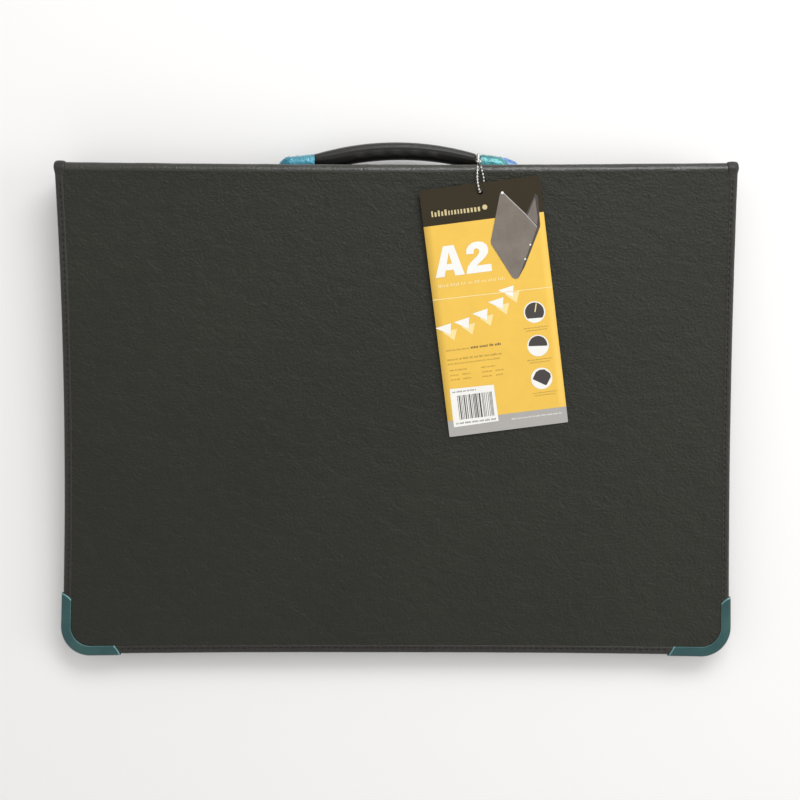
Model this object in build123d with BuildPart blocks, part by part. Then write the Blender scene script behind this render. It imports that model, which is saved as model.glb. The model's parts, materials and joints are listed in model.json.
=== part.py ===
from build123d import *
import math
import os

# A2 portfolio case lying closed on its back cover.
# +X runs along the spine, +Y points from the free edge to the handle, +Z up out of the front cover.
# The origin lies on the back cover's outer face, so z = 0 is the surface that the case rests on.

# Overall sizes
case_width = 656
cover_reach = 471
spine_face_y = 237
spine_height = 50
free_edge_height = 22
corner_radius = 28

# Sheet thicknesses of a cover or of the spine
skin_thick = 0.8
board_thick = 2.4
lining_thick = 0.8
panel_thick = skin_thick + board_thick + lining_thick

# Folds between the covers and the spine
fold_radius = 3
fold_gap = 0.6
fold_y = spine_face_y - fold_radius
front_fold_z = spine_height - fold_radius
panel_start = fold_radius + fold_gap
slope = math.degrees(math.asin((spine_height - free_edge_height) / cover_reach))

# Edge binding and corner protectors
binding_width = 7
guard_band = 8.5
guard_leg = 57
guard_leg_inner = 51
guard_proud = 0.6

# Gusset walls and zip coils, given by their inset from the cover's edge
wall_inset = 6
wall_thick = 1.2
wall_depth = 4.6
wall_start = 9
coil_overlap = 0.3
coil_height = 1.6

# Zip sliders and pulls
slider_x = 7
slider_z = 11.1
slider_length = 11
slider_plate = 1
slider_play = 0.6
pull_pin_y = -234.8
pull_pin_radius = 0.7
pull_length = 26

# Spine
spine_mid_z = spine_height / 2
spine_strip = spine_height - 2 * (2 * fold_radius + 0.2)

# Handle, with heights measured from the spine's outer face
grip_half = 78
grip_width = 20
grip_round = 4
grip_low_end = 1
grip_low_mid = 8.6
grip_high_end = 14.2
grip_high_mid = 25.6
core_half_thick = 0.9
core_half_width = 5
core_play = 0.2
cap_mouth_x = 81.5
cap_tip_x = 112
cap_width = 22
cap_mouth_height = 12.5
cap_tip_height = 6
cap_wall = 1.2
cap_round = 4
base_plate_thick = 1.2
screw_radius = 1.75
screw_play = 0.1
screw_places = (88, 106)

# Ring mechanism
rail_length = 590
rail_width = 22
rail_depth = 7
rail_wall = 1.2
ring_count = 16
ring_pitch = 36
ring_radius = 12.4
ring_wire = 1.4
ring_mid_y = 214.8
blade_length = 580
lever_x = 298.5
lever_y = 229.5
lever_pin_radius = 1.0

# Swing tag and bead chain
tag_width = 116
tag_height = 239
tag_thick = 0.5
tag_turn = 7.3
tag_tilt = 0.96
tag_middle = (94.6, 100.6)
tag_hole = (0, 111)
tag_hole_radius = 3
tag_round = 3
tag_lift = 2.75
chain_radius = 1.2
corner_share = 0.45
connector_radius = 1.7
connector_length = 7
connector_z = 22
connector_place = (79.7, 239.2)

spine_inner_y = spine_face_y - panel_thick
board_low = fold_radius - skin_thick - board_thick
inner_level = fold_radius - panel_thick
tan_half_slope = math.tan(math.radians(slope / 2))
sin_slope = math.sin(math.radians(slope))
cos_slope = math.cos(math.radians(slope))
front_reach = (cover_reach - wall_inset + wall_depth * sin_slope) / cos_slope + wall_inset

# Each cover has its own plane: origin on its fold axis, local +Y away from the spine, +Z outwards.
back_plane = Plane(origin=(0, fold_y, fold_radius), x_dir=(1, 0, 0), z_dir=(0, 0, -1))
front_plane = Plane(
    origin=(0, fold_y, front_fold_z),
    x_dir=(-1, 0, 0),
    z_dir=(0, -sin_slope, cos_slope),
)

os.makedirs("parts", exist_ok=True)


def save(part, name):
    """Label a finished piece and write it to its own file."""
    part.label = name
    export_step(part, f"parts/{name}.step")


def cover_outline(inset, reach, start=panel_start):
    """Outline of a cover with its two rounded free corners, inset from the edge on three sides."""
    with BuildSketch() as outline:
        with Locations((0, start)):
            Rectangle(
                case_width - 2 * inset,
                reach - inset - start,
                align=(Align.CENTER, Align.MIN),
            )
        fillet(outline.vertices().group_by(Axis.Y)[-1], corner_radius - inset)
    return outline.sketch


def corner_zones(reach):
    """The two corner areas that the protectors cover, with slanting ends on both legs."""
    edge = case_width / 2
    margin = 2
    with BuildSketch() as zones:
        with BuildLine():
            Polyline(
                (edge + margin, reach + margin),
                (edge + margin, reach - guard_leg),
                (edge - guard_band, reach - guard_leg_inner),
                (edge - guard_leg_inner, reach - guard_band),
                (edge - guard_leg, reach + margin),
                close=True,
            )
        make_face()
        mirror(about=Plane.YZ)
    return zones.sketch


def guard_outline(reach):
    """Footprint of both corner protectors."""
    with BuildSketch() as footprint:
        add(corner_zones(reach))
        add(cover_outline(-guard_proud, reach), mode=Mode.INTERSECT)
        add(cover_outline(guard_band, reach), mode=Mode.SUBTRACT)
    return footprint.sketch


def binding_outline(reach):
    """Footprint of the edge binding, which stops at the corner protectors."""
    with BuildSketch() as footprint:
        add(cover_outline(0, reach))
        add(cover_outline(binding_width, reach), mode=Mode.SUBTRACT)
        add(corner_zones(reach), mode=Mode.SUBTRACT)
    return footprint.sketch


def sheet_outline(reach):
    """Footprint of a skin or a lining: all that binding and protectors leave free."""
    with BuildSketch() as footprint:
        add(cover_outline(binding_width, reach))
        add(guard_outline(reach), mode=Mode.SUBTRACT)
    return footprint.sketch


def standing_strip(plane, reach, outer_inset, inner_inset, depth_near, depth_far):
    """A strip on edge along three sides of a cover, a gusset wall or a zip coil, taller at the spine."""
    tallest = 30
    margin = 2
    edge = reach - wall_inset
    growth = (edge - wall_start) * tan_half_slope
    near_growth = growth if depth_near else 0
    side = Plane(
        origin=plane.origin - plane.x_dir * case_width,
        x_dir=plane.y_dir,
        z_dir=plane.x_dir,
    )
    with BuildPart() as strip:
        with BuildSketch(plane.offset(inner_level)):
            add(cover_outline(outer_inset, reach, wall_start))
            add(cover_outline(inner_inset, reach, wall_start - 1), mode=Mode.SUBTRACT)
        extrude(amount=-tallest)
        with BuildSketch(side):
            with BuildLine():
                Polyline(
                    (wall_start - margin, inner_level - depth_near - near_growth),
                    (edge + margin, inner_level - depth_near),
                    (edge + margin, inner_level - depth_far),
                    (wall_start - margin, inner_level - depth_far - growth),
                    close=True,
                )
            make_face()
        extrude(amount=2 * case_width, mode=Mode.INTERSECT)
    return strip.part


def build_cover(side, plane, reach):
    """Board, skin, lining, binding, corner protectors, gusset wall and zip coil of one cover."""
    with BuildPart() as board:
        with BuildSketch(plane.offset(board_low)):
            add(cover_outline(skin_thick, reach))
        extrude(amount=board_thick)
    save(board.part, f"{side}_board")

    with BuildPart() as skin:
        with BuildSketch(plane.offset(board_low + board_thick)):
            add(sheet_outline(reach))
        extrude(amount=skin_thick)
    save(skin.part, f"{side}_skin")

    with BuildPart() as lining:
        with BuildSketch(plane.offset(inner_level)):
            add(sheet_outline(reach))
        extrude(amount=lining_thick)
    save(lining.part, f"{side}_lining")

    for name, footprint in (
        ("edge_binding", binding_outline(reach)),
        ("corner_protectors", guard_outline(reach)),
    ):
        with BuildPart() as channel:
            with BuildSketch(plane.offset(inner_level)):
                add(footprint)
            extrude(amount=panel_thick)
            with BuildSketch(plane.offset(board_low)):
                add(cover_outline(skin_thick, reach, panel_start - 1))
            extrude(amount=board_thick, mode=Mode.SUBTRACT)
        save(channel.part, f"{side}_{name}")

    gusset = standing_strip(plane, reach, wall_inset, wall_inset + wall_thick, 0, wall_depth)
    save(gusset, f"{side}_gusset_wall")
    coil = standing_strip(
        plane,
        reach,
        wall_inset - coil_overlap,
        wall_inset + wall_thick + coil_overlap,
        wall_depth,
        wall_depth + coil_height,
    )
    save(coil, f"{side}_zip_coil")


build_cover("back", back_plane, cover_reach)
build_cover("front", front_plane, front_reach)

# Document pocket on the inside of the front cover, with a hem along its open edge
pocket_width = 590
pocket_low = 90
pocket_high = 440
pocket_thick = 0.8
hem_width = 12
hem_thick = 1.4

with BuildPart() as inner_pocket:
    with BuildSketch(front_plane.offset(inner_level)):
        with Locations((0, pocket_low + hem_width)):
            Rectangle(
                pocket_width,
                pocket_high - pocket_low - hem_width,
                align=(Align.CENTER, Align.MIN),
            )
    extrude(amount=-pocket_thick)
save(inner_pocket.part, "inner_pocket")

with BuildPart() as pocket_hem:
    with BuildSketch(front_plane.offset(inner_level)):
        with Locations((0, pocket_low)):
            Rectangle(pocket_width, hem_width, align=(Align.CENTER, Align.MIN))
    extrude(amount=-hem_thick)
save(pocket_hem.part, "pocket_hem")


# Spine: three layers between the two folds, bound at both ends
def spine_layer(width, outer_y, thick):
    """One layer of the spine, with the holes of the handle screws."""
    with BuildPart() as layer:
        with BuildSketch(Plane.XZ.offset(-outer_y)):
            with Locations((0, spine_mid_z)):
                Rectangle(width, spine_strip)
            with Locations([(s * x, spine_mid_z) for s in (-1, 1) for x in screw_places]):
                Circle(screw_radius + screw_play, mode=Mode.SUBTRACT)
        extrude(amount=thick)
    return layer.part


bound_width = case_width - 2 * binding_width
save(spine_layer(bound_width, spine_face_y, skin_thick), "spine_skin")
save(spine_layer(case_width - 2 * skin_thick, spine_face_y - skin_thick, board_thick), "spine_board")
save(spine_layer(bound_width, spine_inner_y + lining_thick, lining_thick), "spine_lining")

for side, sign in (("left", -1), ("right", 1)):
    with BuildPart() as spine_end:
        with BuildSketch(Plane.XZ.offset(-spine_face_y)):
            with Locations((sign * (case_width - binding_width) / 2, spine_mid_z)):
                Rectangle(binding_width, spine_strip)
        extrude(amount=panel_thick)
        with BuildSketch(Plane.XZ.offset(skin_thick - spine_face_y)):
            with Locations((0, spine_mid_z)):
                Rectangle(case_width - 2 * skin_thick, spine_strip)
        extrude(amount=board_thick, mode=Mode.SUBTRACT)
    save(spine_end.part, f"spine_end_binding_{side}")

for side, level in (("back", fold_radius), ("front", front_fold_z)):
    with BuildPart() as fold_roll:
        with BuildSketch(Plane.YZ):
            with Locations((fold_y, level)):
                Circle(fold_radius)
        extrude(amount=case_width / 2, both=True)
    save(fold_roll.part, f"{side}_fold_roll")


# Handle
def arch(low_end, low_mid, high_end, high_mid, half_width):
    """An arched bar along X whose two faces are arcs, given by heights above the spine."""
    with BuildPart() as bar:
        with BuildSketch(Plane.XY.offset(spine_mid_z)):
            with BuildLine():
                ThreePointArc(
                    (-grip_half, spine_face_y + high_end),
                    (0, spine_face_y + high_mid),
                    (grip_half, spine_face_y + high_end),
                )
                Line((grip_half, spine_face_y + high_end), (grip_half, spine_face_y + low_end))
                ThreePointArc(
                    (grip_half, spine_face_y + low_end),
                    (0, spine_face_y + low_mid),
                    (-grip_half, spine_face_y + low_end),
                )
                Line((-grip_half, spine_face_y + low_end), (-grip_half, spine_face_y + high_end))
            make_face()
        extrude(amount=half_width, both=True)
    return bar.part


core_end = 5.5
core_mid = 16
play_thick = core_half_thick + core_play
core_channel = arch(
    core_end - play_thick,
    core_mid - play_thick,
    core_end + play_thick,
    core_mid + play_thick,
    core_half_width + core_play,
)
finger_pitch = 18
finger_radius = 14
finger_drop = 12.6
finger_steps = (-1.5, -0.5, 0.5, 1.5)

with BuildPart() as handle_grip:
    add(arch(grip_low_end, grip_low_mid, grip_high_end, grip_high_mid, grip_width / 2))
    long_edges = handle_grip.edges().filter_by(GeomType.CIRCLE)
    fillet(long_edges, grip_round)
    with BuildSketch(Plane.XY.offset(spine_mid_z)):
        finger_y = spine_face_y + grip_low_mid - finger_drop
        with Locations([(n * finger_pitch, finger_y) for n in finger_steps]):
            Circle(finger_radius)
    extrude(amount=grip_width, both=True, mode=Mode.SUBTRACT)
    add(core_channel, mode=Mode.SUBTRACT)
save(handle_grip.part, "handle_grip")

handle_core = arch(
    core_end - core_half_thick,
    core_mid - core_half_thick,
    core_end + core_half_thick,
    core_mid + core_half_thick,
    core_half_width,
)
save(handle_core, "handle_core")

strap_reach = 22
strap_drop = 1.2

with BuildPart() as strap_right:
    with BuildSketch(Plane.XY.offset(spine_mid_z)):
        with BuildLine():
            strap_top = spine_face_y + core_end + core_half_thick
            strap_low = spine_face_y + core_end - core_half_thick
            Polyline(
                (grip_half, strap_top),
                (grip_half + strap_reach, strap_top - strap_drop),
                (grip_half + strap_reach, strap_low - strap_drop),
                (grip_half, strap_low),
                close=True,
            )
        make_face()
    extrude(amount=core_half_width, both=True)


def hood(mouth_height, tip_height, tip_end, half_width, round_radius):
    """A wedge with a rounded back that tapers from the cap's mouth to its tip."""
    with BuildPart() as wedge:
        with BuildSketch(Plane.XY.offset(spine_mid_z)):
            with BuildLine():
                Polyline(
                    (cap_mouth_x, spine_face_y),
                    (cap_mouth_x, spine_face_y + mouth_height),
                    (tip_end, spine_face_y + tip_height),
                    (tip_end, spine_face_y),
                    close=True,
                )
            make_face()
        extrude(amount=half_width, both=True)
        top = wedge.faces().filter_by(Axis.Z, reverse=True).sort_by(Axis.Y)[-1]
        fillet(top.edges().filter_by(Axis.Z, reverse=True), round_radius)
    return wedge.part


with BuildPart() as cap_right:
    add(hood(cap_mouth_height, cap_tip_height, cap_tip_x, cap_width / 2, cap_round))
    inner_half = cap_width / 2 - cap_wall
    inner_mouth = cap_mouth_height - cap_wall
    inner_tip = cap_tip_height - cap_wall
    inner_round = cap_round - cap_wall
    inner_end = cap_tip_x - cap_wall
    add(hood(inner_mouth, inner_tip, inner_end, inner_half, inner_round), mode=Mode.SUBTRACT)

base_length = 27
base_width = 17
base_round = 2
base_set_back = 1.5
base_x = cap_mouth_x + base_set_back

with BuildPart() as base_right:
    with BuildSketch(Plane.XZ.offset(-spine_face_y)):
        with Locations((base_x + base_length / 2, spine_mid_z)):
            RectangleRounded(base_length, base_width, base_round)
        with Locations([(x, spine_mid_z) for x in screw_places]):
            Circle(screw_radius + screw_play, mode=Mode.SUBTRACT)
    extrude(amount=-base_plate_thick)

for name, right_piece in (
    ("handle_strap", strap_right),
    ("handle_cap", cap_right),
    ("handle_base_plate", base_right),
):
    save(right_piece.part, f"{name}_right")
    with BuildPart() as left_piece:
        add(mirror(right_piece.part, about=Plane.YZ))
    save(left_piece.part, f"{name}_left")

screw_spots = [(s * x, spine_mid_z) for s in (-1, 1) for x in screw_places]
screw_head_radius = 2.8
screw_head_height = 1.3
nut_thick = 1.5
nut_radius = 3

with BuildPart() as handle_screws:
    with BuildSketch(Plane.XZ.offset(-(spine_face_y + base_plate_thick))):
        with Locations(screw_spots):
            Circle(screw_head_radius)
    extrude(amount=-screw_head_height)
    with BuildSketch(Plane.XZ.offset(-(spine_face_y + base_plate_thick))):
        with Locations(screw_spots):
            Circle(screw_radius)
    extrude(amount=base_plate_thick + panel_thick + nut_thick)
save(handle_screws.part, "handle_screws")

with BuildPart() as handle_nuts:
    with BuildSketch(Plane.XZ.offset(-spine_inner_y)):
        with Locations(screw_spots):
            RegularPolygon(nut_radius, 6)
            Circle(screw_radius, mode=Mode.SUBTRACT)
    extrude(amount=nut_thick)
save(handle_nuts.part, "handle_nuts")

# Ring mechanism on the inner face of the spine
rail_face_y = spine_inner_y - rail_depth
rail_half = rail_width / 2
ring_places = [(n - (ring_count - 1) / 2) * ring_pitch for n in range(ring_count)]
slot_width = 3.8
slot_low = 2.6
slot_high = 8.8
ear_length = 8
rivet_pitch = 270
rivet_places = [(n * rivet_pitch, spine_mid_z) for n in (-1, 0, 1)]
rivet_radius = 1.6
rivet_play = 0.1
rivet_head_thick = 1.2
rivet_head_round = 0.9

with BuildPart() as ring_rail:
    with BuildSketch(Plane.YZ):
        with Locations((spine_inner_y - rail_depth / 2, spine_mid_z)):
            Rectangle(rail_depth, rail_width)
        with Locations((spine_inner_y - (rail_depth - rail_wall) / 2, spine_mid_z)):
            Rectangle(rail_depth - rail_wall, rail_width - 2 * rail_wall, mode=Mode.SUBTRACT)
    extrude(amount=rail_length / 2 + ear_length, both=True)
    with BuildSketch(Plane.XZ.offset(-spine_inner_y)):
        with Locations([(s * (rail_length + ear_length) / 2, spine_mid_z) for s in (-1, 1)]):
            Rectangle(ear_length, rail_width - 2 * rail_wall)
    extrude(amount=rail_depth, mode=Mode.SUBTRACT)
    slot_mid = (slot_low + slot_high) / 2
    with BuildSketch(Plane.XZ.offset(-spine_inner_y)):
        with Locations([(x, spine_mid_z + s * slot_mid) for x in ring_places for s in (-1, 1)]):
            Rectangle(slot_width, slot_high - slot_low)
        with Locations(rivet_places):
            Circle(rivet_radius + rivet_play)
    extrude(amount=rail_depth, mode=Mode.SUBTRACT)
    with BuildSketch(Plane.XY.offset(spine_mid_z)):
        with Locations([(s * lever_x, lever_y) for s in (-1, 1)]):
            Circle(lever_pin_radius)
    extrude(amount=rail_width, both=True, mode=Mode.SUBTRACT)
save(ring_rail.part, "ring_rail")

with BuildPart() as rail_rivets:
    with BuildSketch(Plane.XZ.offset(-spine_inner_y)):
        with Locations(rivet_places):
            Circle(rivet_radius)
    extrude(amount=rail_depth)
    with BuildSketch(Plane.XZ.offset(-rail_face_y)):
        with Locations(rivet_places):
            Circle(2 * rivet_radius)
    extrude(amount=rivet_head_thick)
    fillet(rail_rivets.faces().group_by(Axis.Y)[0].edges(), rivet_head_round)
save(rail_rivets.part, "rail_rivets")

with BuildPart() as lever_pins:
    with BuildSketch(Plane.XY.offset(spine_mid_z)):
        with Locations([(s * lever_x, lever_y) for s in (-1, 1)]):
            Circle(lever_pin_radius)
    extrude(amount=rail_half, both=True)
save(lever_pins.part, "lever_pins")

blade_outer = 9.3
blade_outer_y = 230
blade_inner = 0.4
blade_inner_y = 231.3
blade_thick = 1
blade_hole_radius = 4.2
ring_arc = 155
root_level = 5.24
root_end_y = 230.1
root_overlap = 0.6

for side, sign in (("front", 1), ("back", -1)):
    with BuildPart() as ring_blade:
        with BuildSketch(Plane.YZ):
            with BuildLine():
                Polyline(
                    (blade_outer_y, spine_mid_z + sign * blade_outer),
                    (blade_outer_y + blade_thick, spine_mid_z + sign * blade_outer),
                    (blade_inner_y + blade_thick, spine_mid_z + sign * blade_inner),
                    (blade_inner_y, spine_mid_z + sign * blade_inner),
                    close=True,
                )
            make_face()
        extrude(amount=blade_length / 2, both=True)
        with BuildSketch(Plane.XZ.offset(-spine_inner_y)):
            with Locations(screw_spots + rivet_places):
                Circle(blade_hole_radius)
        extrude(amount=rail_depth, mode=Mode.SUBTRACT)
    save(ring_blade.part, f"ring_blade_{side}")

    with BuildPart() as ring_halves:
        with BuildSketch(Plane.XY.offset(spine_mid_z)):
            with Locations([(x, ring_mid_y - ring_radius) for x in ring_places]):
                Circle(ring_wire)
        revolve(
            axis=Axis((0, ring_mid_y, spine_mid_z), (-sign, 0, 0)),
            revolution_arc=ring_arc,
        )
        with BuildSketch(Plane.XZ.offset(-(rail_face_y - root_overlap))):
            with Locations([(x, spine_mid_z + sign * root_level) for x in ring_places]):
                Circle(ring_wire)
        extrude(amount=-(root_end_y - rail_face_y + root_overlap))
    save(ring_halves.part, f"ring_halves_{side}")

lever_width = 17
lever_hub_radius = 2.4
lever_knee_x = 303
lever_knee_y = 214
lever_tip_x = 308
lever_tip_y = 212
lever_pin_play = 0.05

for side, sign in (("left", -1), ("right", 1)):
    with BuildPart() as ring_lever:
        with BuildSketch(Plane.XY.offset(spine_mid_z)):
            with Locations((sign * lever_x, lever_y)):
                Circle(lever_hub_radius)
            with BuildLine():
                Polyline(
                    (sign * (lever_x - 1.2), lever_y - 0.5),
                    (sign * lever_knee_x, lever_knee_y),
                    (sign * lever_tip_x, lever_tip_y),
                    (sign * (lever_tip_x + 0.6), lever_tip_y + 1.9),
                    (sign * (lever_knee_x + 2), lever_knee_y + 1.4),
                    (sign * (lever_x + 1.7), lever_y + 0.3),
                    close=True,
                )
            make_face()
            with Locations((sign * lever_x, lever_y)):
                Circle(lever_pin_radius + lever_pin_play, mode=Mode.SUBTRACT)
        extrude(amount=lever_width / 2, both=True)
    save(ring_lever.part, f"ring_lever_{side}")

# Zip sliders at the middle of the free edge, and their pulls
coil_outer_y = fold_y - cover_reach + wall_inset - coil_overlap
coil_inner_y = coil_outer_y + wall_thick + 2 * coil_overlap
outer_plate_y = coil_outer_y - slider_play
inner_plate_y = coil_inner_y + slider_play
slider_height = 8
slider_neck = 4
slider_wedge_half = 0.5
eye_half = 2.9
eye_width = 3
eye_wall = 1.4
eye_gap = 5
pin_inset = 0.2
pull_hub_radius = 1.4
pull_thick = 1.2
pull_pin_play = 0.08
pull_slot_length = 6
pull_slot_width = 2.6
pull_slot_round = 1.2
pull_slot_inset = 5

for side, sign in (("left", -1), ("right", 1)):
    with BuildPart() as zip_slider:
        with BuildSketch(Plane.XY.offset(slider_z)):
            with Locations((sign * slider_x, outer_plate_y - slider_plate / 2)):
                Rectangle(slider_length, slider_plate)
            with Locations((sign * slider_x, inner_plate_y + slider_plate / 2)):
                Rectangle(slider_length, slider_plate)
        extrude(amount=slider_height / 2, both=True)
        with BuildSketch(Plane.XY.offset(slider_z)):
            with Locations((sign * slider_x, (outer_plate_y + inner_plate_y) / 2)):
                Rectangle(slider_neck, inner_plate_y - outer_plate_y + slider_plate)
        extrude(amount=slider_wedge_half, both=True)
        with BuildSketch(Plane.XY.offset(slider_z)):
            eye_near = outer_plate_y - slider_plate
            eye_far = pull_pin_y - eye_wall
            with Locations((sign * slider_x, (eye_near + eye_far) / 2)):
                Rectangle(eye_width, eye_near - eye_far)
        extrude(amount=slider_height / 2, both=True)
        with BuildSketch(Plane.XY.offset(slider_z)):
            with Locations((sign * slider_x, pull_pin_y - pin_inset)):
                Rectangle(eye_gap, 2 * eye_wall + 3 * pin_inset)
        extrude(amount=eye_half + pin_inset, both=True, mode=Mode.SUBTRACT)
        with BuildSketch(Plane.XY.offset(slider_z)):
            with Locations((sign * slider_x, pull_pin_y)):
                Circle(pull_pin_radius)
        extrude(amount=slider_height / 2 - pin_inset, both=True)
    save(zip_slider.part, f"zip_slider_{side}")

    with BuildPart() as zip_pull:
        with BuildSketch(Plane.XY.offset(slider_z)):
            with Locations((sign * slider_x, pull_pin_y)):
                Circle(pull_hub_radius)
            with Locations((sign * (slider_x + pull_length / 2), pull_pin_y)):
                Rectangle(pull_length, pull_thick)
            with Locations((sign * slider_x, pull_pin_y)):
                Circle(pull_pin_radius + pull_pin_play, mode=Mode.SUBTRACT)
        extrude(amount=eye_half, both=True)
        with BuildSketch(Plane.XZ.offset(-pull_pin_y)):
            with Locations((sign * (slider_x + pull_length - pull_slot_inset), slider_z)):
                RectangleRounded(pull_slot_length, pull_slot_width, pull_slot_round)
        extrude(amount=pull_length, both=True, mode=Mode.SUBTRACT)
    save(zip_pull.part, f"zip_pull_{side}")

# Swing tag, propped up at its top by the chain that passes behind it
front_face = Plane(
    origin=front_plane.origin + front_plane.z_dir * fold_radius,
    x_dir=(1, 0, 0),
    z_dir=front_plane.z_dir,
)


def on_front(x, y, height):
    """Point over the front cover's outer face, by its plan position and its height over the face."""
    along = (y - fold_y) / cos_slope
    return front_face.from_local_coords((x, along, height))


tag_spot = on_front(*tag_middle, tag_lift)
tag_plane = Plane(origin=tag_spot, x_dir=(1, 0, 0), z_dir=front_face.z_dir)
tag_plane = tag_plane.rotated((0, 0, tag_turn)).rotated((tag_tilt, 0, 0))

with BuildPart() as swing_tag:
    with BuildSketch(tag_plane):
        RectangleRounded(tag_width, tag_height, tag_round)
        with Locations(tag_hole):
            Circle(tag_hole_radius, mode=Mode.SUBTRACT)
    extrude(amount=tag_thick)
save(swing_tag.part, "swing_tag")


# Bead chain: one stretch goes round the handle's neck, the other lies on the cover and through the tag
def chain_tube(name, points):
    """A tube along a route, with every corner as round as its two runs allow."""
    places = [Vector(*p) for p in points]
    radii = []
    for before, here, after in zip(places, places[1:], places[2:]):
        arriving = here - before
        leaving = after - here
        turn = math.radians(arriving.get_angle(leaving))
        shorter = min(arriving.length, leaving.length)
        radii.append(corner_share * shorter / math.tan(turn / 2))
    with BuildPart() as tube:
        with BuildLine() as route:
            FilletPolyline(*points, radius=radii)
        with BuildSketch(Plane(origin=route.line @ 0, z_dir=route.line % 0)):
            Circle(chain_radius)
        sweep()
    length = route.wires()[0].length
    expected = math.pi * chain_radius**2 * length
    print(name, "radii", [round(r, 1) for r in radii])
    print(name, "length", round(length, 1), "volume ratio", round(tube.part.volume / expected, 4))
    return tube.part


loop_route = [
    (78.6, 239.2, 47.5),
    (79.4, 244.0, 41.0),
    (79.8, 249.0, 34.8),
    (79.8, 251.6, 28.0),
    (79.8, 251.2, 20.6),
    (79.8, 247.2, 15.0),
    (79.8, 241.7, 14.8),
    (79.8, 239.2, 20.4),
    (79.8, 239.1, 27.6),
    (79.8, 239.3, 35.4),
    (80.2, 239.2, 42.0),
    (80.9, 239.4, 48.0),
]
drop_route = [
    on_front(77.6, 226.0, 3.2),
    on_front(77.3, 220.5, 7.4),
    on_front(79.8, 211.2, 7.9),
    on_front(80.3, 210.6, 1.9),
    on_front(84.4, 219.6, 1.8),
    on_front(83.4, 226.2, 2.0),
]
chain_loop = chain_tube("chain_loop", loop_route)
save(chain_loop, "chain_loop")
chain_drop = chain_tube("chain_drop", drop_route)
save(chain_drop, "chain_drop")

with BuildPart() as chain_connector:
    with BuildSketch(Plane.XY.offset(connector_z)):
        with Locations(connector_place):
            Circle(connector_radius)
    extrude(amount=connector_length)
save(chain_connector.part, "chain_connector")
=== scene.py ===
import bmesh
import bpy
import json
import math
import random
import numpy as np
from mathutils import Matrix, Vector, noise


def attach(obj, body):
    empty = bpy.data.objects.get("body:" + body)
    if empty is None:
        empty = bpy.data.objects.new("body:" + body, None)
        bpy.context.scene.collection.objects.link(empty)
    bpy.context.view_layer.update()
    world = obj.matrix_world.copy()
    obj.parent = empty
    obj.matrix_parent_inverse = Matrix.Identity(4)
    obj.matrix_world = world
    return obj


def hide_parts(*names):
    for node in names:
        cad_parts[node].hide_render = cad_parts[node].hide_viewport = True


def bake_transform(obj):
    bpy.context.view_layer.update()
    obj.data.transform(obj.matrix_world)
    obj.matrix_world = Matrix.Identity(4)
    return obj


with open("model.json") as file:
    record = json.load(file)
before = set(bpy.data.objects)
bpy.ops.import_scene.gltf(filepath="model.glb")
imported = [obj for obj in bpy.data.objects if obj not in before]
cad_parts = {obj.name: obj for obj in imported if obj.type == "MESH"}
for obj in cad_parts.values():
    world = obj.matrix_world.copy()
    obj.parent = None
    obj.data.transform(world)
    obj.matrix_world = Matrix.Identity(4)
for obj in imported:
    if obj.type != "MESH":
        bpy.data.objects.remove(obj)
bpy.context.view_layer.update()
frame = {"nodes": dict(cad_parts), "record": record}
random.seed(7)
mm = 0.001

# Sizes of the case, in millimetres, in the same frame as the CAD
joints = {j["name"]: j for j in frame["record"]["behaviour"]["joints"]}
spine_pos = joints["spine_fold"]["pos_m"]
front_pos = joints["front_fold"]["pos_m"]
HALF = 328.0  # half the width over the bindings
CORNER = 28.0  # radius of the covers' corners
SKIN = 3.0  # level of the skin's face above a cover's own plane
COVER_REACH = 471.0  # from a fold's axis to the free edge
RISE = 28.0  # how much higher the spine is than the free edge
WALL_INSET = 6.0
WALL = 4.6  # depth of the gusset wall at the free edge
RIM_START, BOARD_START, WALL_START = 3.6, 6.4, 9.0  # where edge pieces begin, from the fold's axis
slope = math.asin(RISE / COVER_REACH)
SIN = math.sin(slope)
COS = math.cos(slope)
REACH = {"back": COVER_REACH, "front": (COVER_REACH - WALL_INSET + WALL * SIN) / COS + WALL_INSET}
ORIGIN = {
    "back": np.array([0, spine_pos[1] * 1000, spine_pos[2] * 1000]),
    "front": np.array([0, front_pos[1] * 1000, front_pos[2] * 1000]),
}
ALONG = {"back": np.array([0, -1, 0]), "front": np.array([0, -COS, -SIN])}
OUT = {"back": np.array([0, 0, -1]), "front": np.array([0, -SIN, COS])}
SPINE_Y = 237.0
MID_Z = 25.0  # mid height of the spine, where the handle is
# How far the covers' edges are drawn in, and how far the free corners flare out
DRAWN = {"left": 5.6, "right": 2.8, "top": 2.2, "flare": 2.4}


# ---------------------------------------------------------------- mesh helpers
def grid(P, closed_v=False):
    """Vertices and quads of a grid of points P[u][v]."""
    P = np.asarray(P, dtype=float)
    nu, nv, _ = P.shape
    faces = []
    for i in range(nu - 1):
        for j in range(nv if closed_v else nv - 1):
            m = (j + 1) % nv
            faces.append((i * nv + j, (i + 1) * nv + j, (i + 1) * nv + m, i * nv + m))
    return P.reshape(-1, 3), faces


def link(ob):
    bpy.context.scene.collection.objects.link(ob)


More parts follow.
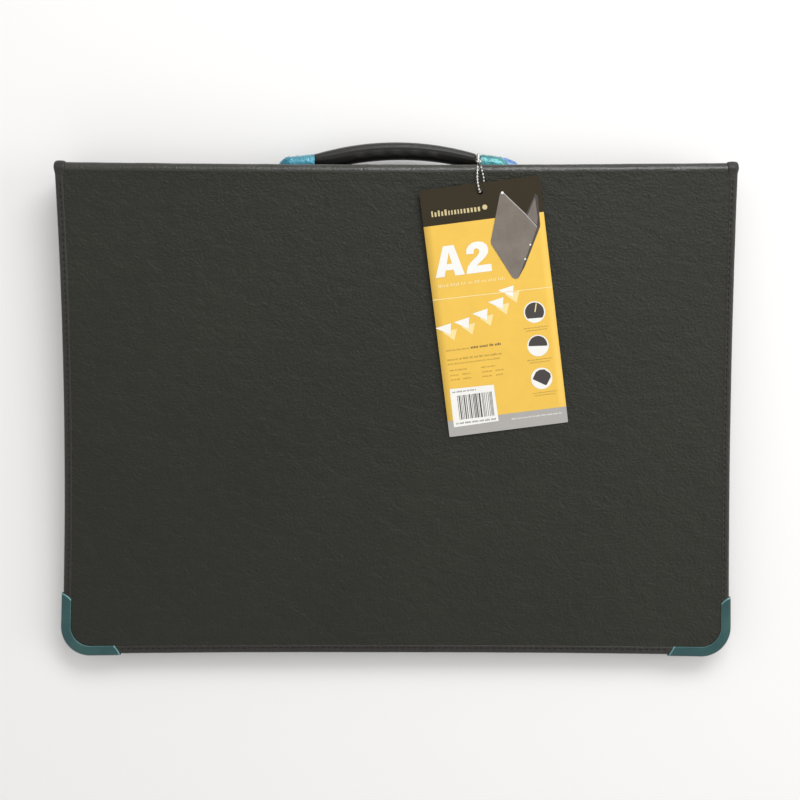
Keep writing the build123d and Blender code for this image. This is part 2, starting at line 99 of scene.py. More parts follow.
def piece(name, parts, material, body=None, cad=None, smooth=True, angle=None):
    """A mesh object in metres from (vertices, faces[, material index]) parts given in millimetres."""
    verts, faces, idx = [], [], []
    base = 0
    for part in parts:
        v, f = part[0], part[1]
        k = part[2] if len(part) > 2 else 0
        verts.append(np.asarray(v, dtype=float))
        faces.extend([tuple(a + base for a in q) for q in f])
        idx.extend([k] * len(f))
        base += len(v)
    me = bpy.data.meshes.new(name)
    me.from_pydata((np.concatenate(verts) * mm).tolist(), [], faces)
    mats = material if isinstance(material, (list, tuple)) else [material]
    for m in mats:
        me.materials.append(m)
    if any(idx):
        me.polygons.foreach_set("material_index", idx)
    me.update()
    if smooth:
        me.shade_smooth()
        if angle:
            me.set_sharp_from_angle(angle=math.radians(angle))
    ob = bpy.data.objects.new(name, me)
    link(ob)
    if body:
        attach(ob, body)
    if cad:
        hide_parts(cad)
    return ob


def flipped(part):
    """A mesh part with its faces turned over."""
    v, f = part[0], part[1]
    return (v, [tuple(reversed(q)) for q in f], *part[2:])


def fbm(x, y, z=0.0, octaves=3):
    """Smooth noise of a few octaves, about -1 to 1."""
    return noise.fractal(Vector((x, y, z)), 1.0, 2.0, octaves)


def rounded(a, power):
    """A point of a circle with its sides flattened, by its angle."""
    c, s = math.cos(a), math.sin(a)
    q = (abs(c) ** power + abs(s) ** power) ** (-1 / power)
    return q * c, q * s


def rim_length(reach, start):
    """Length of a cover's edge round its three free sides."""
    return 2 * (reach - CORNER - start) + math.pi * CORNER + 2 * (HALF - CORNER)


def rim(s, reach, start):
    """Position and outward normal on a cover's edge by the way along it, left side first."""
    s = np.asarray(s, dtype=float)
    total = rim_length(reach, start)
    hand = np.where(s < total / 2, -1, 1)
    s = np.minimum(s, total - s)
    leg = reach - CORNER - start
    arc = math.pi * CORNER / 2
    t = np.clip((s - leg) / CORNER, 0, math.pi / 2)
    nx, nv = hand * np.cos(t), np.sin(t)
    x = hand * (HALF - CORNER - np.maximum(s - leg - arc, 0)) + CORNER * nx
    v = reach - CORNER - np.maximum(leg - s, 0) + CORNER * nv
    return x, v, nx, nv


def place(side, x, v, w):
    """Millimetre points of a cover from its own coordinates, with its edges drawn in between the corners."""
    x, v, w = np.broadcast_arrays(np.asarray(x, float), np.asarray(v, float), np.asarray(w, float))
    if side == "back":
        w = np.minimum(w, SKIN - 0.01)
    part = np.clip(v / REACH[side], 0, 1)
    draw = np.where(x < 0, DRAWN["left"], DRAWN["right"]) * (1 - (2 * part - 1) ** 2)
    shift = DRAWN["top"] * (1 - part) ** 2 * (1 - np.abs(x / HALF) ** 1.7)
    shift = shift + DRAWN["flare"] * part**3 * np.abs(x / HALF) ** 2.5 * np.clip((w + 4) / 2, 0, 1)
    x = x * (1 - draw / HALF)
    v = v + shift
    P = ORIGIN[side] + v[..., None] * ALONG[side] + w[..., None] * OUT[side]
    P[..., 0] = x
    return P


def sweep(side, s, d, w, start=RIM_START):
    """Grid of points along a cover's edge: s, d (inset) and w (height) are arrays [along][across]."""
    reach = REACH[side]
    s, d, w = np.broadcast_arrays(s, d, w)
    x, v, nx, nv = rim(s, reach, start)
    return place(side, x - nx * d, v - nv * d, w)


def closed_bar(rings):
    """A closed solid: quads between rings of points and a face on each end."""
    v, f = grid(rings, closed_v=True)
    n = len(rings[0])
    f.append(tuple(range(n - 1, -1, -1)))
    f.append(tuple(range(len(v) - n, len(v))))
    return v, f


def tube(points, radius, sides, taper=None):
    """A round bar along points, with capped ends."""
    pts = [Vector(p) for p in points]
    rings = []
    side = None
    for i, p in enumerate(pts):
        t = (pts[min(i + 1, len(pts) - 1)] - pts[max(i - 1, 0)]).normalized()
        if side is None:
            side = t.orthogonal().normalized()
        side = (side - t * side.dot(t)).normalized()
        up = t.cross(side)
        r = radius if taper is None else radius * taper[i]
        angles = [2 * math.pi * k / sides for k in range(sides)]
        rings.append([p + r * (math.cos(a) * side + math.sin(a) * up) for a in angles])
    return closed_bar(rings)


def ball(centre, axis, radius, segments=10, rows=7):
    """A bead: a small ball with its poles on the axis."""
    axis = Vector(axis).normalized()
    u = axis.orthogonal().normalized()
    w = axis.cross(u)
    rings = []
    for i in range(rows):
        a = math.pi * (i + 0.5) / rows
        ring = []
        for k in range(segments):
            b = 2 * math.pi * k / segments
            q = Vector(centre) + axis * (radius * -math.cos(a))
            q += radius * math.sin(a) * (math.cos(b) * u + math.sin(b) * w)
            ring.append(q)
        rings.append(ring)
    return closed_bar(rings)


# ---------------------------------------------------------------- materials
class Mat:
    """A node material with short calls for the usual procedural pieces."""

    def __init__(self, name, base, rough, metallic=0.0, specular=0.5, coat=0.0, coat_rough=0.1):
        self.m = bpy.data.materials.new(name)
        self.m.use_nodes = True
        self.n = self.m.node_tree.nodes
        self.l = self.m.node_tree.links
        self.b = self.n["Principled BSDF"]
        self.b.inputs["Base Color"].default_value = (*base, 1)
        self.b.inputs["Roughness"].default_value = rough
        self.b.inputs["Metallic"].default_value = metallic
        self.b.inputs["Specular IOR Level"].default_value = specular
        self.b.inputs["Coat Weight"].default_value = coat
        self.b.inputs["Coat Roughness"].default_value = coat_rough
        coords = self.n.new("ShaderNodeTexCoord")
        self.obj = coords.outputs["Object"]

    def node(self, kind, vec, **values):
        """A new texture node with its inputs set, on the object's own coordinates or on vec."""
        n = self.n.new(kind)
        for name, value in values.items():
            n.inputs[name].default_value = value
        self.l.new(vec or self.obj, n.inputs["Vector"])
        return n

    def scaled(self, sx, sy, sz):
        return self.node("ShaderNodeMapping", None, Scale=(sx, sy, sz)).outputs["Vector"]

    def noise(self, scale, detail=3, rough=0.55, vec=None, distort=0.0):
        values = {"Scale": scale, "Detail": detail, "Roughness": rough, "Distortion": distort}
        return self.node("ShaderNodeTexNoise", vec, **values).outputs["Fac"]

    def cells(self, scale, vec=None):
        n = self.node("ShaderNodeTexVoronoi", vec, Scale=scale)
        n.feature = "DISTANCE_TO_EDGE"
        return n.outputs["Distance"]

    def wave(self, scale, axis, distort):
        n = self.node("ShaderNodeTexWave", None, Scale=scale, Distortion=distort, Detail=1.0)
        n.bands_direction = axis
        return n.outputs["Fac"]

    def ramp(self, fac, stops):
        n = self.n.new("ShaderNodeValToRGB")
        r = n.color_ramp
        while len(r.elements) < len(stops):
            r.elements.new(0.5)
        for e, (p, c) in zip(r.elements, stops):
            e.position = p
            e.color = (*c, 1) if not np.isscalar(c) else (c, c, c, 1)
        self.l.new(fac, n.inputs["Fac"])
        return n.outputs["Color"]

    def mix(self, fac, a, b, mode="MIX"):
        n = self.n.new("ShaderNodeMix")
        n.data_type = "RGBA"
        n.blend_type = mode
        for k, val in ((0, fac), (6, a), (7, b)):
            if np.isscalar(val):
                n.inputs[k].default_value = val if k == 0 else (val, val, val, 1)
            elif isinstance(val, tuple):
                n.inputs[k].default_value = (*val, 1)
            else:
                self.l.new(val, n.inputs[k])
        return n.outputs[2]

    def math(self, op, a, b=0.0):
        n = self.n.new("ShaderNodeMath")
        n.operation = op
        for k, val in ((0, a), (1, b)):
            if np.isscalar(val):
                n.inputs[k].default_value = val
            else:
                self.l.new(val, n.inputs[k])
        return n.outputs[0]

    def color(self, out):
        self.l.new(out, self.b.inputs["Base Color"])

    def rough(self, out):
        self.l.new(out, self.b.inputs["Roughness"])

    def bump(self, *layers):
        """Bump from (height, distance in mm) layers."""
        normal = None
        for height, distance in layers:
            n = self.n.new("ShaderNodeBump")
            n.inputs["Strength"].default_value = 1.0
            n.inputs["Distance"].default_value = distance * mm
            self.l.new(height, n.inputs["Height"])
            if normal is not None:
                self.l.new(normal, n.inputs["Normal"])
            normal = n.outputs["Normal"]
        self.l.new(normal, self.b.inputs["Normal"])


def leather(name, light, dark, rough, bump=1.0, specular=0.34):
    """Grained leatherette: mottle, wrinkles, grain and fine pebbles, with painted shade in the pebbles' hollows."""
    m = Mat(name, light, rough, specular=specular)
    creases = m.scaled(1.0, 1.3, 1.15)
    mottle = m.noise(60, 5, 0.65, vec=creases, distort=0.8)
    grain = m.noise(330, 4, 0.7, vec=m.scaled(1.0, 1.15, 1.1))
    pebbles = m.cells(800)
    fine = m.noise(1500, 2, 0.6)
    broad = m.noise(5, 3, 0.5)
    tone = m.ramp(grain, [(0.3, dark), (0.72, light)])
    tone = m.mix(0.4, tone, m.ramp(mottle, [(0.34, dark), (0.68, light)]))
    tone = m.mix(0.3, tone, m.ramp(broad, [(0.35, dark), (0.65, light)]))
    # painted shade: the colour is darkened to 0.6 in the pebbles' hollows, at the cell edges
    pit_shade = m.ramp(pebbles, [(0.0, 0.6), (0.2, 1.0)])
    m.color(m.mix(1.0, tone, pit_shade, mode="MULTIPLY"))
    m.rough(m.ramp(grain, [(0.3, rough + 0.14), (0.75, rough - 0.08)]))
    wrinkles = m.cells(230, vec=m.scaled(1.0, 1.2, 1.1))
    layers = ((mottle, 1.7), (wrinkles, 0.6), (grain, 0.62), (pebbles, 0.12), (fine, 0.05))
    m.bump(*((height, distance * bump) for height, distance in layers))
    m.b.inputs["Sheen Weight"].default_value = 0.05
    m.b.inputs["Sheen Roughness"].default_value = 0.5
    return m.m


def metal(name, base, rough, scratch=60):
    """Plated metal with long faint scratches and dull spots."""
    m = Mat(name, base, rough, metallic=1.0)
    long = m.noise(scratch, 4, 0.7, vec=m.scaled(1, 14, 14))
    spots = m.noise(220, 3, 0.6)
    m.rough(m.ramp(long, [(0.3, max(rough - 0.06, 0.04)), (0.75, rough + 0.12)]))
    m.color(m.ramp(spots, [(0.35, tuple(c * 0.82 for c in base)), (0.65, base)]))
    m.bump((long, 0.01))
    return m.m


def film(name, low, mid, high, rough=0.22, crumple=1.0, metallic=0.35):
    """Tinted protective film over metal, with bumped creases and painted highlights along them."""
    m = Mat(name, mid, rough, metallic=metallic, coat=0.5, coat_rough=0.12)
    creases = m.noise(170, 4, 0.62, distort=1.2)
    folds = m.cells(260)
    patches = m.noise(38, 3, 0.55)
    tone = m.ramp(patches, [(0.3, low), (0.5, mid), (0.72, high)])
    # painted highlight: the high colour along the crease lines
    glint = m.ramp(folds, [(0.0, high), (0.12, mid)])
    m.color(m.mix(0.35 * min(crumple, 1.0), tone, glint))
    m.rough(m.ramp(creases, [(0.3, rough), (0.75, rough + 0.16)]))
    m.bump((creases, 0.28 * crumple), (folds, 0.12 * crumple))
    return m.m


def cloth(name, light, dark, pitch, rough=0.85):
    """Woven cloth with a thread pitch in millimetres and a slight fuzz."""
    m = Mat(name, light, rough, specular=0.25)
    k = 1000 / pitch / 6.2832
    warp, weft, rise = (m.wave(k, axis, distort=0.6) for axis in "XYZ")
    weave = m.math("MULTIPLY", m.math("ADD", warp, rise), weft)
    fuzz = m.noise(420, 3, 0.6)
    threads = m.ramp(weave, [(0.1, dark), (0.9, light)])
    m.color(m.mix(0.5, threads, m.ramp(fuzz, [(0.3, dark), (0.7, light)])))
    m.bump((weave, 0.12), (fuzz, 0.12))
    m.b.inputs["Sheen Weight"].default_value = 0.25
    return m.m


def plain_print(name, base, rough=0.42, fibre=0.05):
    """Printed card with a faint paper tooth and uneven ink."""
    m = Mat(name, base, rough, specular=0.35)
    ink = m.noise(60, 4, 0.6)
    tooth = m.noise(1400, 2, 0.6)
    m.color(m.ramp(ink, [(0.3, tuple(c * (1 - fibre) for c in base)), (0.7, base)]))
    m.rough(m.ramp(tooth, [(0.3, rough - 0.04), (0.7, rough + 0.06)]))
    m.bump((tooth, 0.02))
    return m.m


leatherette = leather("leatherette", (0.0228, 0.0236, 0.0140), (0.0106, 0.0110, 0.0063), rough=0.47)
# edge_leather is lighter and browner than the cover's leather: partly the binding's own tone, partly painted light on
# the rounded binding
edge_leather = leather("edge_leather", (0.0370, 0.0345, 0.0285), (0.0210, 0.0195, 0.0160), rough=0.42, bump=0.5)
fold_leather = leather(
    "fold_leather", (0.0300, 0.0300, 0.0220), (0.0150, 0.0150, 0.0105), rough=0.28, bump=0.4, specular=0.7
)
# the thread is near black: partly the thread's own dark colour, partly painted shade of the stitch holes
thread = cloth("thread", (0.0025, 0.002, 0.0025), (0.001, 0.001, 0.001), pitch=0.3, rough=0.7)
lining_cloth = cloth("lining_cloth", (0.055, 0.055, 0.06), (0.02, 0.02, 0.023), pitch=0.7)
gusset_cloth = cloth("gusset_cloth", (0.03, 0.03, 0.03), (0.012, 0.012, 0.012), pitch=0.5)
pocket_cloth = cloth("pocket_cloth", (0.042, 0.042, 0.047), (0.015, 0.015, 0.018), pitch=0.8, rough=0.7)
nylon = leather("zip_nylon", (0.02, 0.02, 0.02), (0.012, 0.012, 0.012), rough=0.35, bump=0.1)
# painted reflection: the corners' film is a dark teal copy of the caps' film
guard_film = film("guard_film", (0.010, 0.056, 0.062), (0.014, 0.072, 0.074), (0.024, 0.094, 0.090), 0.3, 0.15, 0.2)
# painted highlight and painted shade: lighter and darker copies of the corners' film
guard_rim_highlight = film("guard_rim_highlight", (0.08, 0.22, 0.23), (0.13, 0.31, 0.32), (0.26, 0.48, 0.48), 0.25, 0.2, 0.2)
guard_painted_shade = film("guard_painted_shade", (0.006, 0.020, 0.026), (0.010, 0.030, 0.038), (0.02, 0.06, 0.07), 0.3, 0.2, 0.2)
# painted reflection: the caps' film is a bright cyan copy of the corners' teal film
cap_films = {
    "left": film("cap_film_left", (0.004, 0.085, 0.145), (0.012, 0.170, 0.260), (0.10, 0.37, 0.46), 0.2, 2.6, 0.45),
    "right": film("cap_film_right", (0.004, 0.090, 0.110), (0.012, 0.175, 0.195), (0.10, 0.38, 0.38), 0.2, 2.2, 0.45),
}
# painted shade: a dark copy of the cap film for the dark line along each cap's top
cap_ridge_shade = film("cap_ridge_shade", (0.006, 0.06, 0.075), (0.012, 0.10, 0.12), (0.03, 0.20, 0.22), 0.25, 0.5, 0.1)
grip_plastic = leather(
    "grip_plastic", (0.0080, 0.0074, 0.0050), (0.0042, 0.0039, 0.0027), rough=0.36, bump=0.10, specular=0.46
)
strap_plastic = leather("strap_plastic", (0.02, 0.02, 0.019), (0.012, 0.012, 0.011), rough=0.4, bump=0.3)
chrome = metal("chrome", (0.56, 0.56, 0.57), 0.2)
rail_steel = metal("rail_steel", (0.36, 0.36, 0.37), 0.34)
chain_steel = metal("chain_steel", (0.72, 0.70, 0.66), 0.22, scratch=300)
zip_metal = metal("zip_metal", (0.30, 0.29, 0.27), 0.32)
board_card = plain_print("board_card", (0.040, 0.036, 0.031), 0.85, 0.25)
card_yellow = plain_print("card_yellow", (0.83, 0.525, 0.085))
card_pale = plain_print("card_pale", (0.93, 0.72, 0.33))
card_dark = plain_print("card_dark", (0.027, 0.018, 0.005), 0.35)
card_grey = plain_print("card_grey", (0.41, 0.395, 0.375))
card_white = plain_print("card_white", (0.86, 0.85, 0.81))
card_gold = plain_print("card_gold", (0.62, 0.52, 0.27))
card_ink = plain_print("card_ink", (0.075, 0.068, 0.06))
card_text = plain_print("card_text", (0.42, 0.28, 0.06))
card_panel = plain_print("card_panel", (0.215, 0.183, 0.155), 0.4, 0.25)
card_panel_dark = plain_print("card_panel_dark", (0.06, 0.052, 0.05))
card_back = plain_print("card_back", (0.70, 0.68, 0.63), 0.6, 0.12)


def paint(material, *nodes, bevel=None):
    """Gives CAD nodes a material, with softened edges where bevel is set (in mm)."""
    for name in nodes:
        ob = frame["nodes"][name]
        for s in ob.material_slots:
            s.material = material
        if bevel:
            b = ob.modifiers.new("soft", "BEVEL")
            b.width = bevel * mm
            b.segments = 2
            b.limit_method = "ANGLE"
            b.angle_limit = math.radians(35)
            b.harden_normals = False


# ---------------------------------------------------------------- camera
camera_data = bpy.data.cameras.new("camera")
camera_data.lens = 53.9
camera_data.sensor_width = 36
camera_data.clip_start = 0.01
camera = bpy.data.objects.new("camera", camera_data)
camera.location = (0.0040, 0.0106, 1.2)
camera.rotation_euler = (0, 0, 0.0016)
link(camera)
bpy.context.scene.camera = camera

# ---------------------------------------------------------------- bead chain
front_face = ORIGIN["front"] + SKIN * OUT["front"]
UP_SLOPE = np.array([0, COS, SIN])


def on_front(x, y, height):
    """Point over the front cover by its x and y at rest and its height above the skin."""
    along = (y - ORIGIN["front"][1]) / COS
    q = front_face + along * UP_SLOPE + height * OUT["front"]
    return (x, q[1], q[2])


def route_points(name, route):
    """Points along a smooth line whose control points are the route."""
    cu = bpy.data.curves.new(name, "CURVE")
    cu.dimensions = "3D"
    cu.resolution_u = 12
    sp = cu.splines.new("NURBS")
    sp.points.add(len(route) - 1)
    for p, q in zip(sp.points, route):
        p.co = (q[0] * mm, q[1] * mm, q[2] * mm, 1)
    sp.order_u = 3
    sp.use_endpoint_u = True
    ob = bpy.data.objects.new(name, cu)
    link(ob)
    me = bpy.data.meshes.new_from_object(ob)
    pts = [v.co.copy() for v in me.vertices]
    bpy.data.objects.remove(ob)
    bpy.data.meshes.remove(me)
    return pts


def at_length(pts, s):
    """Point and direction at a length s along a path."""
    for a, b in zip(pts, pts[1:]):
        d = (b - a).length
        if s <= d:
            return a + (b - a) * (s / max(d, 1e-9)), (b - a).normalized()
        s -= d
    return pts[-1].copy(), (pts[-1] - pts[-2]).normalized()


def bead_chain(name, cad, route, pitch=3.3, radius=1.2):
    """A length of bead chain along a route, in place of its CAD node."""
    pts = route_points(name + "_line", route)
    total = sum((b - a).length for a, b in zip(pts, pts[1:])) * 1000
    parts = [tube([p * 1000 for p in pts], 0.36, sides=5)]
    count = int(total / pitch)
    shift = (total - (count - 1) * pitch) / 2
    for k in range(count):
        p, t = at_length(pts, (shift + k * pitch) * mm)
        parts.append(ball(p * 1000, t, radius))
    ob = piece(name, parts, chain_steel, cad=cad)
    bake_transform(ob)


loop_route = [
    (78.4, 237.6, 50.9),
    (78.9, 242.6, 47.2),
    (79.3, 245.6, 40.5),
    (79.8, 249.6, 34.8),
    (79.8, 251.6, 28.0),
    (79.8, 251.2, 20.6),
    (79.8, 247.2, 15.0),
    (79.8, 241.7, 14.8),
    (79.8, 239.2, 20.4),
    (79.8, 239.2, 27.6),
    (79.8, 240.2, 35.4),
    (79.9, 242.4, 43.0),
    (80.3, 240.9, 49.6),
    (80.6, 237.3, 51.5),
]
drop_route = [
    (78.2, 236.0, 51.7),
    (77.7, 229.6, 53.0),
    on_front(77.3, 220.5, 7.9),
    on_front(79.3, 211.6, 8.4),
    on_front(80.3, 209.8, 3.6),
    on_front(82.0, 213.6, 1.8),
    on_front(84.6, 220.6, 1.6),
    on_front(83.0, 227.6, 1.8),
    (81.0, 235.8, 51.9),
]
bead_chain(
    "bead_chain_loop", "chain_loop", loop_route,
)
bead_chain(
    "bead_chain_drop", "chain_drop", drop_route,
)
paint(chain_steel, "chain_connector", bevel=0.3)


# ---------------------------------------------------------------- covers
def cover_skin(side, w, wave, start=4.4, inset=6.6, step=4.0, turn_in=False):
    """A finely divided sheet over a cover, with slight undulation."""
    reach = REACH[side]
    r = CORNER - inset
    half = HALF - inset
    nv = int((reach - inset - start) / step) + 1
    nu = int(2 * half / step) + 1
    v = np.linspace(start, reach - inset, nv)
    turned = (3.5, 3.3, 3.6) if turn_in else ()
    v = np.concatenate([turned, v])
    over = np.clip(v - (reach - inset - r), 0, r)
    width = half - r + np.sqrt(np.maximum(r * r - over * over, 0))
    u = np.linspace(-1, 1, nu)
    X = u[:, None] * width[None, :]
    V = np.broadcast_to(v, X.shape)
    edge = np.minimum(half - np.abs(X), (reach - inset) - V)
    fade = np.clip(edge / 25, 0, 1)
    W = np.zeros_like(X)
    for i in range(nu):
        for j in range(len(v)):
            h = fbm(X[i, j] / 90, V[i, j] / 45, w) + 0.5 * fbm(X[i, j] / 28, V[i, j] / 14, w + 5)
            W[i, j] = w + wave * (h - 0.3) * fade[i, j]
    if turn_in:
        W[:, 0], W[:, 1], W[:, 2] = 2.6, 0.9, -0.75
    return grid(place(side, X, V, W))


for side, level, wave in (("front", 3.0, 0.16), ("back", 2.8, 0.12)):
    part = cover_skin(side, level, wave)
    part = part if side == "front" else flipped(part)
    piece(side + "_cover_skin", [part], leatherette, side + "_cover", side + "_skin")
for side in ("front", "back"):
    part = cover_skin(side, -1.0, 0.1, turn_in=True)
    part = flipped(part) if side == "front" else part
    piece(side + "_cover_lining", [part], lining_cloth, side + "_cover", side + "_lining")

# Boards: slabs a little inside the skins
board_profile = ((1.4, -0.15), (1.0, 0.1), (1.0, 1.9), (1.4, 2.15))
board_steps = 400
for side in ("front", "back"):
    s = np.linspace(0, rim_length(REACH[side], BOARD_START), board_steps)
    rows = [sweep(side, s, d, w, start=BOARD_START) for d, w in board_profile]
    v, f = grid(np.array(rows).transpose(1, 0, 2))
    last = 4 * (board_steps - 1)
    f.append(tuple(k * 4 + 3 for k in range(board_steps)))
    f.append(tuple(k * 4 for k in reversed(range(board_steps))))
    f.append((0, 1, 2, 3, last + 3, last + 2, last + 1, last))
    piece(side + "_cover_board", [(v, f)], board_card, side + "_cover", side + "_board", smooth=False)

# Edge bindings, each with a stitch row on its outer and inner face
binding_profile = [
    (7.2, 2.95), (6.9, 3.30), (6.2, 3.48), (5.2, 3.50), (4.4, 3.36), (3.6, 3.50), (2.6, 3.62), (1.4, 3.52),
    (0.4, 3.05), (-0.3, 2.3), (-0.5, 1.0), (-0.3, -0.3), (0.4, -1.1), (1.4, -1.5), (2.6, -1.62), (4.4, -1.4),
    (6.2, -1.48), (6.9, -1.3), (7.2, -0.95),
]
stitch_pitch = 6.0
stitch_inset = 4.4
stitch_ends = np.array([-1.75, -1.4, -0.6, 0.6, 1.4, 1.75])
stitch_rise = np.array([-0.35, -0.02, 0.12, 0.12, -0.02, -0.35])
stitch_taper = [0.6, 0.95, 1, 1, 0.95, 0.6]
GUARD_LEG = 57.0  # a protector's leg along the free edge
for side in ("front", "back"):
    reach = REACH[side]
    total = rim_length(reach, RIM_START)
    s = np.linspace(0, total, int(total / 1.5))
    d = np.array([p[0] for p in binding_profile])
    w = np.array([p[1] for p in binding_profile])
    row = np.exp(-((d - stitch_inset) ** 2))
    pucker = 0.34 * np.cos(2 * math.pi * s / stitch_pitch)[:, None] * row[None, :]
    if side == "back":
        w = np.where(w > 2.2, w - 0.75, w)
    out = np.sign(w - 1.0)[None, :]
    slow = np.array([fbm(q / 60, 3.0 if side == "front" else 9.0) for q in s])
    bulge = np.where(np.abs(w - 1) < 2.2, 0.12, 0.05)[None, :] * slow[:, None]
    part = grid(sweep(side, s[:, None], d[None, :] - bulge, w[None, :] + pucker * out))
    part = flipped(part) if side == "front" else part
    piece(side + "_edge_piping", [part], edge_leather, side + "_cover", side + "_edge_binding")
    # no stitches where a protector covers the binding
    hidden_from = reach - 62
    hidden_to = reach - RIM_START - 2 * CORNER + math.pi * CORNER / 2 + GUARD_LEG
    rows = ((1, 3.30, 0.75), (-1, -1.46, 0.55)) if side == "front" else ((1, 2.30, 0.55), (-1, -1.46, 0.55))
    threads = []
    for face, level, radius in rows:
        k = 1.5
        while k * stitch_pitch < total - 6:
            mid = (k + 0.5) * stitch_pitch + random.uniform(-0.15, 0.15)
            k += 1
            if any(hidden_from < a < hidden_to for a in (mid, total - mid - 2)):
                continue
            inset = stitch_inset + random.uniform(-0.12, 0.12)
            P = sweep(side, mid + stitch_ends, inset, level + face * stitch_rise)
            threads.append(tube(P, radius, sides=6, taper=stitch_taper))
    piece(side + "_stitching", threads, thread, side + "_cover")

# Corner protectors in their film
guard_profile = [
    (7.3, 2.6), (7.4, 3.35), (7.15, 3.75), (6.7, 3.9), (5.6, 3.95), (3.4, 3.98), (1.2, 3.95), (-0.8, 3.78),
    (-1.6, 3.3), (-2.1, 2.4), (-2.35, 1.2), (-2.25, 0.0), (-1.7, -1.0), (-0.6, -1.7), (0.8, -1.95), (3.4, -2.0),
    (6.6, -1.9), (7.3, -1.6), (7.3, -0.8),
]


def guard(side, mirror):
    """One protector: its ends slant across the band; its inner edge and ends are a painted highlight and its outer
    wall and underside a painted shade.
    """
    reach = REACH[side]
    total = rim_length(reach, RIM_START)
    leg = reach - CORNER - RIM_START
    arc = math.pi * CORNER / 2
    d = np.array([p[0] for p in guard_profile])
    w = np.array([p[1] for p in guard_profile])
    across = np.clip((d + 2.3) / 9.6, 0, 1)
    slip = 3.2 if mirror else 0.0  # the right protector sits a little further along the rim
    first = reach - 60 - RIM_START + slip + 6.5 * across**1.8
    last = leg + arc + (GUARD_LEG - CORNER) + slip - 6.0 * across ** (1.0 if mirror else 1.8)
    t = np.linspace(0, 1, 70)
    t = np.concatenate([[0, 0.004, 0.012], t[1:-1], [0.988, 0.996, 1]])
    t.sort()
    s = first[None, :] + t[:, None] * (last - first)[None, :]
    if mirror:
        s = total - s
    sink = np.clip(1 - np.minimum(t, 1 - t) / 0.012, 0, 1)[:, None] ** 2
    mid = 1.0
    W = mid + (w[None, :] - mid) * (1 - 0.16 * sink)
    ripple = np.array([[fbm(a / 14, b / 9, 1.7) for b in range(len(d))] for a in s[:, 5]])
    W = W + 0.05 * ripple * np.sign(w - mid)[None, :]
    P = sweep(side, s, d[None, :] + 0.3 * sink, W)
    v, f = grid(P)
    nv = len(d)
    rows = len(t)
    main, rim_highlight, dark = [], [], []
    for q in f:
        i, j = q[0] // nv, q[0] % nv
        # painted highlight on the inner edge and the ends, painted shade on the outer wall and underside
        if (j <= 1 or i < 2 or i >= rows - 3) and j < 9:
            rim_highlight.append(q)
        elif j >= 7:
            dark.append(q)
        else:
            main.append(q)
    parts = [(v, main, 0), (v, rim_highlight, 1), (v, dark, 2)]
    return parts if (side == "back") != mirror else [flipped(part) for part in parts]


for side in ("front", "back"):
    parts = guard(side, False) + guard(side, True)
    films = [guard_film, guard_rim_highlight, guard_painted_shade]
    piece(side + "_corner_guards", parts, films, side + "_cover", side + "_corner_protectors")

# Gusset walls: cloth strips that bulge a little between cover and zip
tan_half = math.tan(slope / 2)


def wall_depth(side, s):
    """Depth of the gusset wall by the way along the edge: the two walls meet at mid height."""
    v = rim(s, REACH[side], WALL_START)[1]
    return WALL + np.maximum(REACH[side] - WALL_INSET - v, 0) * tan_half


for side in ("front", "back"):
    total = rim_length(REACH[side], WALL_START)
    s = np.linspace(0, total, int(total / 3))
    depth = wall_depth(side, s)[:, None]
    t = np.linspace(0, 1, 9)
    wob = np.array([[0.35 * fbm(q / 16, k * 2.2, 4.0) for k in t] for q in s])
    outer = 6.1 - (0.9 + wob) * np.sin(math.pi * t)[None, :]
    P_out = sweep(side, s[:, None], outer, -1 - depth * t[None, :], start=WALL_START)
    P_in = sweep(side, s[:, None], outer[:, ::-1] + 0.9, -1 - depth * t[None, ::-1], start=WALL_START)
    part = grid(np.concatenate([P_out, P_in], axis=1), closed_v=True)
    part = flipped(part) if side == "front" else part
    piece(side + "_gusset_cloth", [part], gusset_cloth, side + "_cover", side + "_gusset_wall")
    # the zip's coil: a thin wire wound along the wall's free edge
    turns = int(total / 1.9)
    a = np.linspace(0, turns * 2 * math.pi, turns * 6)
    q = np.linspace(0.3, total - 0.3, turns * 6)
    level = -1 - wall_depth(side, q) - 0.8 - 0.62 * np.sin(a)
    P = sweep(side, q, 6.6 + 0.62 * np.cos(a), level, start=WALL_START)
    wire = tube(P, 0.26, sides=4)
    piece(side + "_zip_coil_turns", [wire], nylon, side + "_cover", side + "_zip_coil")

# Spine skin, lining and the two padded folds
xs = np.linspace(-HALF + 6.8, HALF - 6.8, 165)
zs = np.linspace(12.0, 38.0, 9)
P = np.array([[(x, SPINE_Y + 0.14 * fbm(x / 40, z / 9, 2.0) + 0.05, z) for z in zs] for x in xs])
piece("spine_leather", [flipped(grid(P))], leatherette, "spine", "spine_skin")
inner = [(236.9, 6.02), (234.6, 5.98), (233.2, 6.02)] + [(233.0, z) for z in np.linspace(6.6, 43.4, 9)]
inner += [(233.2, 43.98), (234.6, 44.02), (236.9, 43.98)]
P = np.array([[(x, y - 0.1 * fbm(x / 40, z / 9, 7.0), z) for y, z in inner] for x in xs])
piece("spine_inner_cloth", [grid(P)], lining_cloth, "spine", "spine_lining")

